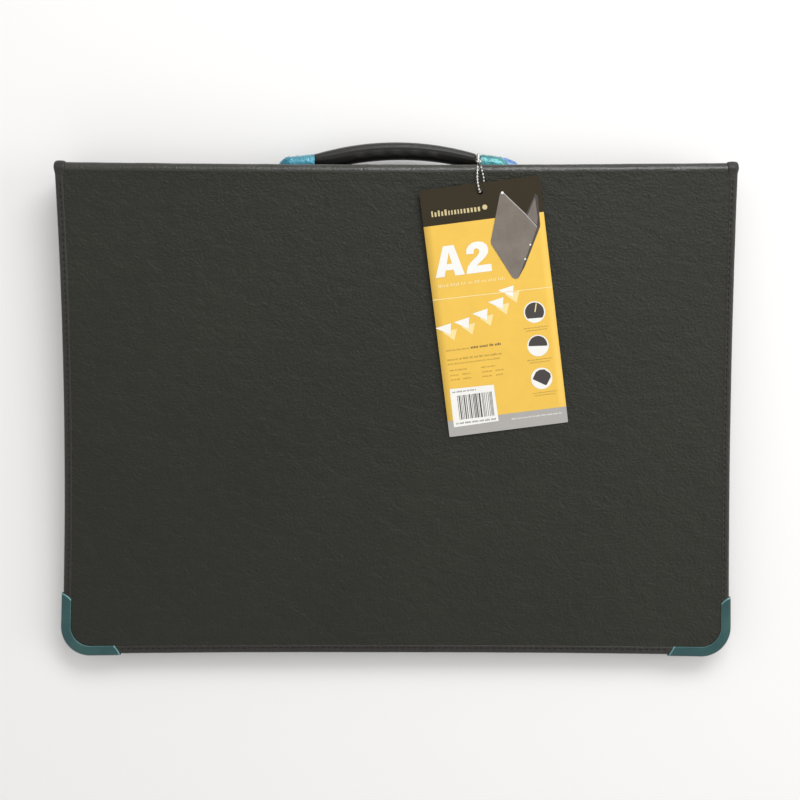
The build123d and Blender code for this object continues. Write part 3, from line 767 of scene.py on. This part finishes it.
front_fold = [
    (237.0, 37.0), (237.2, 39.2), (238.2, 41.4), (239.2, 43.6), (239.7, 45.2), (239.5, 46.6), (238.6, 47.8),
    (237.3, 48.8), (235.8, 49.75), (234.3, 50.3), (232.8, 50.5), (231.0, 50.1),
]
front_fold += [tuple(place("front", 0, v, 3.02)[1:]) for v in (6.0, 8.0)]
back_fold = [
    (237.0, 13.0), (237.05, 10.8), (237.1, 8.5), (237.15, 6.2), (237.05, 4.0), (236.5, 2.0), (235.3, 0.7),
    (233.9, 0.2), (232.0, 0.06), (229.0, 0.04), (228.0, 0.05), (226.0, 0.1),
]
FOLD_COUNT = 22  # points across a fold's sheet
ROLL_END = 15  # the first of them on the cover's flat face
CASE_CENTRE = np.array([231.0, MID_Z])


def smooth_line(points, count):
    """Evenly spaced points on a smooth line through the given ones."""
    p = np.array(points, dtype=float)
    for _ in range(2):
        q = [p[0]]
        for a, b in zip(p, p[1:]):
            q.append(0.75 * a + 0.25 * b)
            q.append(0.25 * a + 0.75 * b)
        q.append(p[-1])
        p = np.array(q)
    step = np.concatenate([[0], np.cumsum(np.linalg.norm(np.diff(p, axis=0), axis=1))])
    t = np.linspace(0, step[-1], count)
    return np.stack([np.interp(t, step, p[:, k]) for k in range(2)], axis=1)


def outward(line):
    """Unit normals of a section, pointing away from the middle of the case."""
    tang = np.gradient(line, axis=0)
    norm = np.stack([tang[:, 1], -tang[:, 0]], axis=1)
    norm /= np.linalg.norm(norm, axis=1)[:, None]
    norm[((line - CASE_CENTRE) * norm).sum(axis=1) < 0] *= -1
    return norm


def fold_sheet(points, x0, x1, step, raise_by=0.0, count=FOLD_COUNT, seed=0.0):
    """A sheet along X that follows a fold's section, lifted by raise_by along its outward normal."""
    line = smooth_line(points, count)
    norm = outward(line)
    ease = np.sin(np.linspace(0, math.pi, count)) ** 0.5
    rows = []
    for x in np.linspace(x0, x1, max(int(abs(x1 - x0) / step), 8) + 1):
        bump = np.array([0.22 * fbm(x / 22, k * 0.35, seed) for k in range(count)]) * ease
        yz = line + norm * (raise_by + bump)[:, None]
        sag = 1 - abs(x / HALF) ** 1.7
        rise = np.clip((np.abs(yz[:, 1] - MID_Z) - 13) / 6, 0, 1)
        yz[:, 0] -= DRAWN["top"] * sag * rise * rise * (3 - 2 * rise)
        rows.append(np.column_stack([np.full(count, x), yz]))
    return np.array(rows)


def bend(ob, fold):
    """Bakes a piece's transform into its mesh, the same way for either fold."""
    if fold == "front":
        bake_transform(ob)
    else:
        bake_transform(ob)


folds = {"front": front_fold, "back": back_fold}
for fold, seed in (("front", 1.0), ("back", 4.0)):
    P = fold_sheet(folds[fold], -HALF + 1.0, HALF - 1.0, 4.0, seed=seed)
    P[..., 2] = np.clip(P[..., 2], 0.02, 60)
    v, f = grid(P) if fold == "back" else flipped(grid(P))
    rolled = [q for q in f if min(a % FOLD_COUNT for a in q) < ROLL_END]
    flat = [q for q in f if min(a % FOLD_COUNT for a in q) >= ROLL_END]
    # the inner side of the roll is a matt cloth backing, seen when the case is open
    within = fold_sheet(folds[fold], -HALF + 1.0, HALF - 1.0, 4.0, raise_by=-0.5, seed=seed)
    backing = [tuple(reversed(q)) for q in rolled]
    ob = piece(
        fold + "_fold_leather",
        [(v, rolled), (v, flat, 1), (grid(within)[0], backing, 2)],
        [fold_leather, leatherette, gusset_cloth],
        cad=fold + "_fold_roll",
    )
    bend(ob, fold)

# Binding ends that wrap over both folds at the four corners
EAR_STEPS = 26
for tag, sign in (("left", -1), ("right", 1)):
    for fold, points in folds.items():
        P = fold_sheet(points[1:], 0, 20, 1.0, count=EAR_STEPS)[0, :, 1:]
        norm = outward(P)
        P[:, 0] += DRAWN["top"] * np.clip((np.abs(P[:, 1] - MID_Z) - 13) / 6, 0, 1)
        rows = []
        for u in np.linspace(0, 1, 22):
            row = []
            for k in range(EAR_STEPS):
                swell = math.sin(math.pi * min(k / (EAR_STEPS - 1) * 1.12, 1)) ** 0.7
                inner = HALF - 9.5 + 1.5 * (1 - swell)
                outer = HALF - 0.4 + 2.0 * swell
                across, deep = rounded(math.pi * (0.06 + 0.94 * u), 3.0)
                across = -across
                x = (inner + outer) / 2 + (outer - inner) / 2 * across
                high = 0.25 + (1.15 if fold == "front" else 0.35) * swell
                lift = high * deep - (2.6 * (1 - deep) if across > 0 else 0)
                lift += 0.12 * fbm(x / 5, k * 0.3, sign * 3.0)
                row.append((sign * x, P[k, 0] + norm[k, 0] * lift, P[k, 1] + norm[k, 1] * lift))
            rows.append(row)
        R = np.array(rows)
        R[..., 2] = np.clip(R[..., 2], 0.02, 60)
        part = grid(R)
        if (sign > 0) == (fold == "front"):
            part = flipped(part)
        bend(piece(fold + "_ear_" + tag, [part], edge_leather), fold)
    x0, x1 = sign * (HALF - 7.2), sign * (HALF + 0.4)
    prof = [
        (x0, 237.0), (x0 + sign * 0.3, 237.4), (x0 + sign * 2.5, 237.55), (x1 - sign * 1.8, 237.5),
        (x1 - sign * 0.5, 237.0), (x1, 236.0), (x1, 234.5), (x1 - sign * 0.5, 233.3), (x1 - sign * 1.8, 232.7),
        (x0, 232.8),
    ]
    zs = np.linspace(7.0, 43.0, 26)
    part = grid([[(px, py + 0.1 * fbm(px / 9, z / 7, 8.0), z) for px, py in prof] for z in zs])
    part = part if sign > 0 else flipped(part)
    piece("spine_end_leather_" + tag, [part], edge_leather, "spine", "spine_end_binding_" + tag)

# Document pocket on the inside of the front cover
POCKET_HALF, POCKET_LOW, POCKET_HIGH = 295, 100.0, 440
xs = np.linspace(-POCKET_HALF, POCKET_HALF, 100)
vs = np.linspace(POCKET_LOW, POCKET_HIGH, 58)
P = []
for x in xs:
    ex = min(POCKET_HALF - abs(x), 30) / 30
    puff = [0.5 * ex * min((POCKET_HIGH - v) / 40, 1) * (0.9 + 0.7 * fbm(x / 80, v / 50, 3.0)) for v in vs]
    P.append(place("front", x, vs, -1.15 - np.array(puff)))
part = flipped(grid(P))
pocket = piece("document_pocket", [part], pocket_cloth, "front_cover", "inner_pocket")
prof = [(90.0, -1.1), (89.8, -2.0), (90.6, -2.5), (96, -2.55), (101.2, -2.5), (102.2, -2.0), (102.0, -1.1)]
P = np.array([[place("front", x, v, w - 0.12 * fbm(x / 30, v / 9, 2.0)) for v, w in prof] for x in xs])
part = flipped(grid(P.reshape(len(xs), len(prof), 3)))
hem = piece("document_pocket_hem", [part], edge_leather, "front_cover", "pocket_hem")

# ---------------------------------------------------------------- handle
GRIP = 78.0  # half the grip's length
GRIP_SIDES, GRIP_RINGS = 56, 133


def arc_height(end, mid, x):
    """Height of a circular arc through both ends and the middle."""
    rise = mid - end
    radius = (GRIP * GRIP + rise * rise) / (2 * rise)
    return mid - radius + math.sqrt(radius * radius - x * x)


rows = []
for i in range(GRIP_RINGS):
    x = -GRIP + 2 * GRIP * (i - 2) / (GRIP_RINGS - 3)
    low = 9.3 - 4.5 * ((x - 5) / 50) ** 2
    low = (low + 0.9 + math.sqrt((low - 0.9) ** 2 + 3.0)) / 2  # levels out at the ends
    high = arc_height(14.3, 25.6, min(max(x, -GRIP), GRIP))
    finger = 0.0
    if abs(x) < 46:
        finger = (0.5 - 0.5 * math.cos(2 * math.pi * (x - 9) / 18)) * min((46 - abs(x)) / 8, 1)
    end = min((GRIP - x) / 2.2, (x + GRIP + 2.4) / 2.2, 1.0)
    squeeze = 0.86 + 0.14 * math.sqrt(max(1 - (1 - end) ** 2, 0))
    row = []
    for k in range(GRIP_SIDES):
        a = 2 * math.pi * k / GRIP_SIDES
        c, s = math.cos(a), math.sin(a)
        up, across = rounded(a, 2.7)
        ridge = 0.16 * math.cos(14 * a) if c > -0.2 else 0.0
        h = (low + high) / 2 + (high - low) / 2 * squeeze * up + ridge * c
        low_half = math.exp(-(((c + 0.55) / 0.3) ** 2))
        z = MID_Z + 10.0 * squeeze * across + ridge * s
        z += (1.3 * finger - 1.1) * low_half * (1 if s > 0 else -1)
        row.append((x, SPINE_Y + h, z))
    rows.append(row)
piece("grip_moulding", [closed_bar(rows)], grip_plastic, "handle", "handle_grip", angle=50)
paint(strap_plastic, "handle_core")

# Caps in their film, with the strap ends that slide in them: (distance from the middle, height)
cap_profiles = {
    "left": [
        (79.3, 13.4), (86.0, 13.1), (94.0, 12.4), (101.0, 11.6), (106.0, 11.0), (108.5, 10.3), (111.0, 8.6),
        (113.0, 6.2), (114.0, 3.6), (114.4, 0.6),
    ],
    "right": [
        (82.2, 13.7), (86.0, 13.4), (92.0, 12.8), (97.0, 12.1), (100.5, 11.3), (103.5, 9.9), (106.3, 7.7),
        (108.3, 5.6), (109.8, 3.2), (110.8, 0.6),
    ],
}
strap_profile = [
    (0.9, -4.4), (0.9, 4.4), (0.5, 5.0), (-0.5, 5.0), (-0.9, 4.4), (-0.9, -4.4), (-0.5, -5.0), (0.5, -5.0),
]


def cap_section(px, ph, x, wall=0.0):
    """Heights and widths across a cap at x: a low vault with its feet on the spine, narrower at the tip."""
    height = float(np.interp(x, px, ph)) - wall
    half = 11.0 * (1 - 0.34 * max(0, (x - px[-1] + 11) / 11) ** 2) - wall
    points = [rounded(math.pi * k / 24, 3.2) for k in range(25)]
    return [(height * up, half * across) for across, up in points]


for tag, sign in (("left", -1), ("right", 1)):
    px, ph = np.array(cap_profiles[tag]).T
    outer, inner = [], []
    for x in [*(px[0] + np.array([0, 0.1, 0.4, 0.9])), *np.linspace(px[0] + 2.2, px[-1], 22)]:
        row = []
        for k, (h, z) in enumerate(cap_section(px, ph, x)):
            crumple = 0.6 * fbm(x / 3.4, z / 3.0, sign * 5.0 + h / 5, 4)
            crumple *= min(k / 4, (24 - k) / 4, 1.0) * min((x - px[0] + 0.9) / 3, 1)
            row.append((sign * x, SPINE_Y + 0.05 + max(h + crumple, 0), MID_Z + z))
        outer.append(row)
    for x in np.linspace(px[0], px[-1] - 4, 8):
        section = cap_section(px, ph, x, wall=0.9)
        inner.append([(sign * x, SPINE_Y + 0.05 + max(h, 0), MID_Z + z) for h, z in section])
    shell = grid(inner[::-1] + outer)
    shell = flipped(shell) if sign > 0 else shell
    # a fold of film along the vault's top, coloured dark as painted shade along the cap's top edge
    ridge = [row[12] for row in outer[3:]]
    ridge_shade = tube([(x, y + 0.15, z + 0.4 * fbm(x / 6, 1.0, 2.0)) for x, y, z in ridge], 0.75, sides=7)
    piece(
        "handle_cap_film_" + tag,
        [shell, (*ridge_shade, 1)],
        [cap_films[tag], cap_ridge_shade],
        "spine",
        "handle_cap_" + tag,
        smooth=False,
    )
    rows = []
    for x in np.linspace(76.5, 100.0, 15):
        mid = SPINE_Y + 5.5 - 1.2 * max(x - 78, 0) / 22
        rows.append([(sign * x, mid + h, MID_Z + z) for h, z in strap_profile])
    strap = closed_bar(rows)
    strap = strap if sign > 0 else flipped(strap)
    piece("handle_strap_end_" + tag, [strap], strap_plastic, "handle", "handle_strap_" + tag)

paint(zip_metal, "handle_screws", "handle_nuts", bevel=0.25)
paint(zip_metal, "handle_base_plate_left", "handle_base_plate_right", bevel=0.3)

# Loose film tail at each cap's tip
for tag, sign, name, tint, tail in (
    ("left", -1, "tail_clear", (0.20, 0.36, 0.40), [(105, 12.6), (109, 11), (112, 8.4), (114, 5.4), (115, 3.5)]),
    ("right", 1, "tail_blue", (0.10, 0.24, 0.50), [(101.5, 12.4), (105.5, 11.4), (110, 10), (115, 7.9), (118, 5.8)]),
):
    m = Mat(name, tint, 0.16, coat=0.4, coat_rough=0.1)
    m.b.inputs["Alpha"].default_value = 0.6
    creases = m.noise(260, 3, 0.6, distort=1.0)
    # painted highlight: the film is lighter along the crease ridges
    m.color(m.ramp(creases, [(0.35, tint), (0.62, tuple(min(c * 1.9, 0.9) for c in tint))]))
    m.bump((creases, 0.3))
    tx, th = np.array(tail).T
    rows = []
    for u in np.linspace(0, 1, 17):
        x = tx[0] + (tx[-1] - tx[0]) * u
        row = []
        for k in range(19):
            a = math.pi * k / 18
            z = 25.5 + (7.5 - 2.5 * u) * math.cos(a)
            crumple = 0.9 * fbm(x / 3.1, z / 3.4, sign * 2.0, 4) * math.sin(a)
            h = max(float(np.interp(x, tx, th)) * math.sin(a) ** 0.6 + crumple, 0.3)
            row.append((sign * (x + 0.8 * fbm(k * 0.5, u, 1.0) * u), SPINE_Y + h, z))
        rows.append(row)
    sheet = piece("film_tail_" + tag, [grid(rows)], m.m, "spine")
    sheet.modifiers.new("thin", "SOLIDIFY").thickness = 0.1 * mm

# ---------------------------------------------------------------- swing tag
TAG_W, TAG_H = 116.0, 239.0
LAYER = 0.06  # between two printed layers


def turned(a, b, angle):
    """Two directions turned in their own plane."""
    c, s = math.cos(angle), math.sin(angle)
    return c * a + s * b, -s * a + c * b


tag_x, tag_y = turned(np.array([1.0, 0, 0]), UP_SLOPE, math.radians(7.3))
tag_y, tag_z = turned(tag_y, OUT["front"], math.radians(0.96))
tag_origin = np.array(on_front(94.6, 100.6, 2.75))


def tag_point(a, b, h):
    """Point on the swing tag's face by its own millimetre coordinates, h above the card."""
    bow = 0.7 * (1 - (2 * b / TAG_H) ** 2) + 0.25 * (2 * a / TAG_W) * (2 * b / TAG_H)
    return tag_origin + a * tag_x + b * tag_y + (0.5 + h + bow) * tag_z


def tag_shape(name, outlines, material, level):
    """Flat printed shapes on the tag, each given by its corners."""
    parts = [([tag_point(a, b, LAYER * level) for a, b in pts], [tuple(range(len(pts)))]) for pts in outlines]
    piece(name, parts, material, "front_cover", smooth=False)


def box(a0, b0, a1, b1):
    """Corners of an upright rectangle."""
    return [(a0, b0), (a1, b0), (a1, b1), (a0, b1)]


def bar(a0, b0, a1, b1, height):
    """A plain bar from one point to another, height across."""
    d = Vector((a1 - a0, b1 - b0)).normalized()
    n = Vector((-d.y, d.x)) * height / 2
    return [(a0 - n.x, b0 - n.y), (a1 - n.x, b1 - n.y), (a1 + n.x, b1 + n.y), (a0 + n.x, b0 + n.y)]


def ticks(a0, a1, b, height, grouped=True):
    """A line of fine plain ticks, in groups where it stands for words."""
    out = []
    a = a0
    left = random.randint(3, 6)
    tick = 0.3 * height
    while a < a1 - tick:
        w = tick * random.uniform(0.7, 1.3)
        tall = height * random.choice((0.75, 0.75, 1.0))
        out.append(box(a, b - height / 2, a + w, b - height / 2 + tall))
        a += w + tick * 0.9
        left -= 1
        if left == 0 and grouped:
            a += tick * 1.6
            left = random.randint(3, 6)
    return out


def text(*lines):
    """Ticks for several lines, each (from, to, middle, height)."""
    return [tick for line in lines for tick in ticks(*line)]


def disc(a, b, r, count=32, start=0.0, end=2 * math.pi):
    """Corners of a disc, or of the part of it between two angles."""
    angles = [start + (end - start) * k / count for k in range(count)]
    return [(a + r * math.cos(t), b + r * math.sin(t)) for t in angles]


# The card itself, with rounded corners and its punched hole
HOLE_B, HOLE_RADIUS = 111.0, 3.0


def card_outline(count=6):
    """Corners of the card, rounder at the top."""
    pts = []
    for cx, cy, a0 in ((55, -116.5, -90), (55, 116.5, 0), (-55, 116.5, 90), (-55, -116.5, 180)):
        r = 2.2 if cy > 0 else 0.9
        x, y = cx + math.copysign(3 - r, cx), cy + math.copysign(3 - r, cy)
        angles = [math.radians(a0 + 90 * k / (count - 1)) for k in range(count)]
        pts += [(x + r * math.cos(a), y + r * math.sin(a)) for a in angles]
    return pts


def cut(bm, point, normal, clear=False):
    """Cuts a whole mesh along a plane."""
    everything = bm.verts[:] + bm.edges[:] + bm.faces[:]
    bmesh.ops.bisect_plane(bm, geom=everything, plane_co=point, plane_no=normal, clear_outer=clear)


def card_mesh(name, low_b, high_b, material, level, depth=None):
    """The card's outline cut to a range of heights, punched and divided, then laid on the tag's curve."""
    bm = bmesh.new()
    bm.faces.new([bm.verts.new((a, b, 0)) for a, b in card_outline()])
    cut(bm, (0, low_b, 0), (0, -1, 0), clear=True)
    cut(bm, (0, high_b, 0), (0, 1, 0), clear=True)
    for a in np.arange(-50, 51, 10.0):
        cut(bm, (a + 0.01, 0, 0), (1, 0, 0))
    for b in np.arange(-115, 116, 10.0):
        cut(bm, (0, b + 0.01, 0), (0, 1, 0))
    if high_b > HOLE_B:
        middles = [(f, f.calc_center_median()) for f in bm.faces]
        near = [f for f, c in middles if abs(c.x) < 11 and abs(c.y - HOLE_B) < 9]
        face = bmesh.ops.dissolve_faces(bm, faces=near)["region"][0]
        loop = list(face.verts)
        ring = []
        for v in loop:
            d = Vector((v.co.x, v.co.y - HOLE_B)).normalized() * HOLE_RADIUS
            ring.append(bm.verts.new((d.x, HOLE_B + d.y, 0)))
        bmesh.ops.delete(bm, geom=[face], context="FACES_ONLY")
        for a, b, c, d in zip(loop, loop[1:] + loop[:1], ring[1:] + ring[:1], ring):
            bm.faces.new((a, b, c, d))
    bmesh.ops.recalc_face_normals(bm, faces=bm.faces)
    for v in bm.verts:
        v.co = Vector(tag_point(v.co.x, v.co.y, LAYER * level)) * mm
    me = bpy.data.meshes.new(name)
    bm.to_mesh(me)
    bm.free()
    me.materials.append(material)
    me.materials.append(card_back)
    me.shade_smooth()
    ob = bpy.data.objects.new(name, me)
    link(ob)
    if depth:
        sol = ob.modifiers.new("card", "SOLIDIFY")
        sol.thickness = depth * mm
        sol.offset = -1 if me.polygons[0].normal.z > 0 else 1
        sol.material_offset = 1
        sol.material_offset_rim = 1
    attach(ob, "front_cover")
    return ob


tag_card = card_mesh("tag_card", -119.5, 119.5, card_yellow, 0, depth=0.5)
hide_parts("swing_tag")
card_mesh("tag_band", 84.5, 119.5, card_dark, 1)
card_mesh("tag_strip", -119.5, -104.0, card_grey, 1)

tag_shape("tag_title", ticks(-49, -2.5, 95.6, 5.6, grouped=False) + [disc(2.5, 96.0, 2.4)], card_gold, 2)
tag_shape("tag_subtitle", ticks(-51, 15, 26.5, 3.0), card_pale, 2)
tag_shape("tag_rule", [bar(-57.6, 14.0, 57.6, 12.3, 0.9)], card_pale, 2)
flags = [(14, 13.5), (3, 3.5), (-13.5, -5.5), (-32, -11.5), (-50, -15)]
tag_shape("tag_flag_shadows", [[(a - 2, b - 3), (a + 12, b - 1), (a + 8, b - 12)] for a, b in flags], card_pale, 1)
tag_shape("tag_flags", [[(a - 8.5, b + 2), (a + 7, b + 5), (a + 5, b - 6)] for a, b in flags], card_white, 2)
for n, (a, b) in enumerate(((38, -9.5), (37.6, -42), (37.4, -74))):
    tag_shape("tag_disc_%d" % n, [disc(a, b, 10.4)], card_white, 2)
disc_pictures = [
    disc(38, -9.5, 9.2, 30, math.radians(-42), math.radians(226)),
    disc(37.6, -41.6, 9.0, 30, math.radians(-10), math.radians(186)),
    [
        (28.6, -73.6), (32.6, -67.2), (36.4, -65.4), (41.0, -65.6), (46.2, -70.2), (46.4, -73.6), (41.6, -80.8),
        (40.2, -80.9),
    ],
]
tag_shape("tag_disc_pictures", disc_pictures, card_panel_dark, 3)
tag_shape("tag_disc_marks", [bar(38.4, -9.5, 40.6, -1.5, 1.0)], card_pale, 4)
for n, (b, a0) in enumerate(((-25.6, 24), (-56.6, 24), (-88.8, 25))):
    caption = text((a0 + 2, a0 + 26, b + 1.3, 1.0), (a0 + 4, a0 + 24, b - 1.2, 1.0))
    tag_shape("tag_caption_%d" % n, caption, card_text, 2)
lines = [(-51, -28, -36, 1.4), (-51, 2, -45, 1.9), (-51, 0, -49.3, 1.2), (-50, -33, -55.5, 1.4), (-19, -5, -56, 1.4)]
for b in (-60.2, -64.6):
    lines += [(-50, -41, b, 1.3), (-38, -30, b, 1.3), (-19, -9, b - 0.4, 1.3), (-6, 2, b - 0.4, 1.3)]
tag_shape("tag_lines", text(*lines), card_text, 2)
tag_shape("tag_sizes_line", ticks(-27, 2, -35.6, 2.4), card_ink, 2)
tag_shape("tag_label", [[(-52.6, -110.6), (-8.8, -109.8), (-9.4, -74.2), (-52.2, -73.2)]], card_white, 2)
bars = []
a = -46.0
while a < -12.5:
    w = random.choice((0.5, 0.5, 0.8, 1.2, 1.6))
    bars.append(box(a, -104, a + w, -80.5))
    a += w + random.choice((0.5, 0.7, 0.9, 1.3))
tag_shape("tag_bars", bars, card_ink, 3)
tag_shape("tag_label_lines", text((-50, -27, -76.6, 1.6), (-50, -10, -107.3, 1.8)), card_ink, 3)
tag_shape("tag_address", ticks(4, 53, -109.6, 1.5), card_white, 2)
# The small picture of a case
tag_shape("tag_case_side", [[(25.6, 23.6), (33.5, 34.5), (53.2, 71.5), (50, 72)]], card_ink, 2)
tag_shape("tag_case_rear", [[(52, 103), (40, 83), (49.8, 70.4), (53.2, 72.3), (54.2, 100)]], card_panel_dark, 3)
tag_shape("tag_case_rear_face", [[(51.2, 99), (42, 83), (50, 73), (51.6, 80)]], card_panel, 4)
front_panel = [
    (21, 108.5), (18.5, 107), (4.4, 63.5), (4.2, 60.5), (20.6, 26.2), (23.5, 24.2), (26.6, 25), (50, 70.5), (41, 83),
]
tag_shape("tag_case_front", [front_panel], card_panel, 5)
tag_shape("tag_case_edge", [bar(20.6, 108.4, 41, 83.6, 0.9), bar(41, 83.4, 49.8, 71.2, 0.9)], card_grey, 6)
glints = [disc(20.8, 107.4, 1.3, 12), disc(35, 42, 0.9, 10), disc(41.5, 55, 0.9, 10)]
tag_shape("tag_case_glints", glints, card_white, 7)

letter_a = [
    [(-52.4, 34.8), (-43.8, 34.8), (-37.2, 57.4), (-36.8, 64.0), (-42.0, 64.0)],
    [(-36.8, 64.0), (-37.2, 57.4), (-33.4, 34.8), (-24.2, 34.8), (-31.6, 64.0)],
    [(-42.1, 40.6), (-34.2, 40.6), (-35.4, 46.6), (-40.4, 46.6)],
]
figure_two = [
    (-20.6, 53.6), (-20.0, 58.0), (-17.4, 61.8), (-13.2, 64.0), (-8.4, 64.5), (-3.4, 63.4), (-0.2, 60.4),
    (1.0, 56.4), (0.2, 52.4), (-2.6, 48.8), (-7.0, 45.4), (-10.4, 42.9), (-11.6, 41.7), (2.2, 41.7),
    (2.2, 34.8), (-22.4, 34.8), (-22.2, 37.2), (-20.6, 41.5), (-16.6, 46.0), (-11.6, 49.8), (-8.8, 52.4),
    (-7.8, 55.0), (-8.6, 57.3), (-10.6, 58.2), (-12.5, 57.4), (-13.3, 55.4), (-13.4, 53.2),
]
tag_shape("tag_size", letter_a + [figure_two], card_white, 2)

# ---------------------------------------------------------------- metal and hidden parts
paint(board_card, "spine_board")
paint(chrome, "ring_halves_front", "ring_halves_back", "ring_blade_front", "ring_blade_back")
paint(rail_steel, "ring_rail", bevel=0.4)
paint(chrome, "rail_rivets", "lever_pins")
paint(rail_steel, "ring_lever_left", "ring_lever_right", bevel=0.5)
paint(zip_metal, "zip_slider_left", "zip_slider_right", "zip_pull_left", "zip_pull_right", bevel=0.25)

# ---------------------------------------------------------------- floor and light
floor_mat = Mat("floor", (0.86, 0.855, 0.845), 0.75, specular=0.2)
me = bpy.data.meshes.new("floor")
me.from_pydata([(x, y, -0.0004) for x, y in box(-4, -4, 4, 4)], [], [(0, 1, 2, 3)])
me.materials.append(floor_mat.m)
floor = bpy.data.objects.new("floor", me)
link(floor)

world = bpy.data.worlds.new("studio")
world.use_nodes = True
background = world.node_tree.nodes["Background"]
background.inputs["Color"].default_value = (1.0, 0.995, 0.985, 1)
background.inputs["Strength"].default_value = 0.60
bpy.context.scene.world = world


def area(name, location, target, size, power):
    """A rectangular lamp aimed at a point."""
    data = bpy.data.lights.new(name, "AREA")
    data.shape = "RECTANGLE"
    data.size, data.size_y = size
    data.energy = power
    ob = bpy.data.objects.new(name, data)
    ob.location = location
    ob.rotation_euler = (Vector(target) - Vector(location)).to_track_quat("-Z", "Y").to_euler()
    link(ob)


area("key", (0.60, 1.45, 1.50), (0.1, 0.05, 0), (1.7, 0.9), 28)
area("fill_low", (0.1, -2.3, 1.4), (0, -0.2, 0), (2.4, 1.0), 4)
area("fill_right", (2.4, -0.1, 1.2), (0.1, 0, 0), (1.4, 1.6), 20)
area("fill_left", (-2.4, 0.3, 1.2), (-0.1, 0, 0), (1.4, 1.6), 5)
bpy.context.scene.view_settings.view_transform = "Standard"
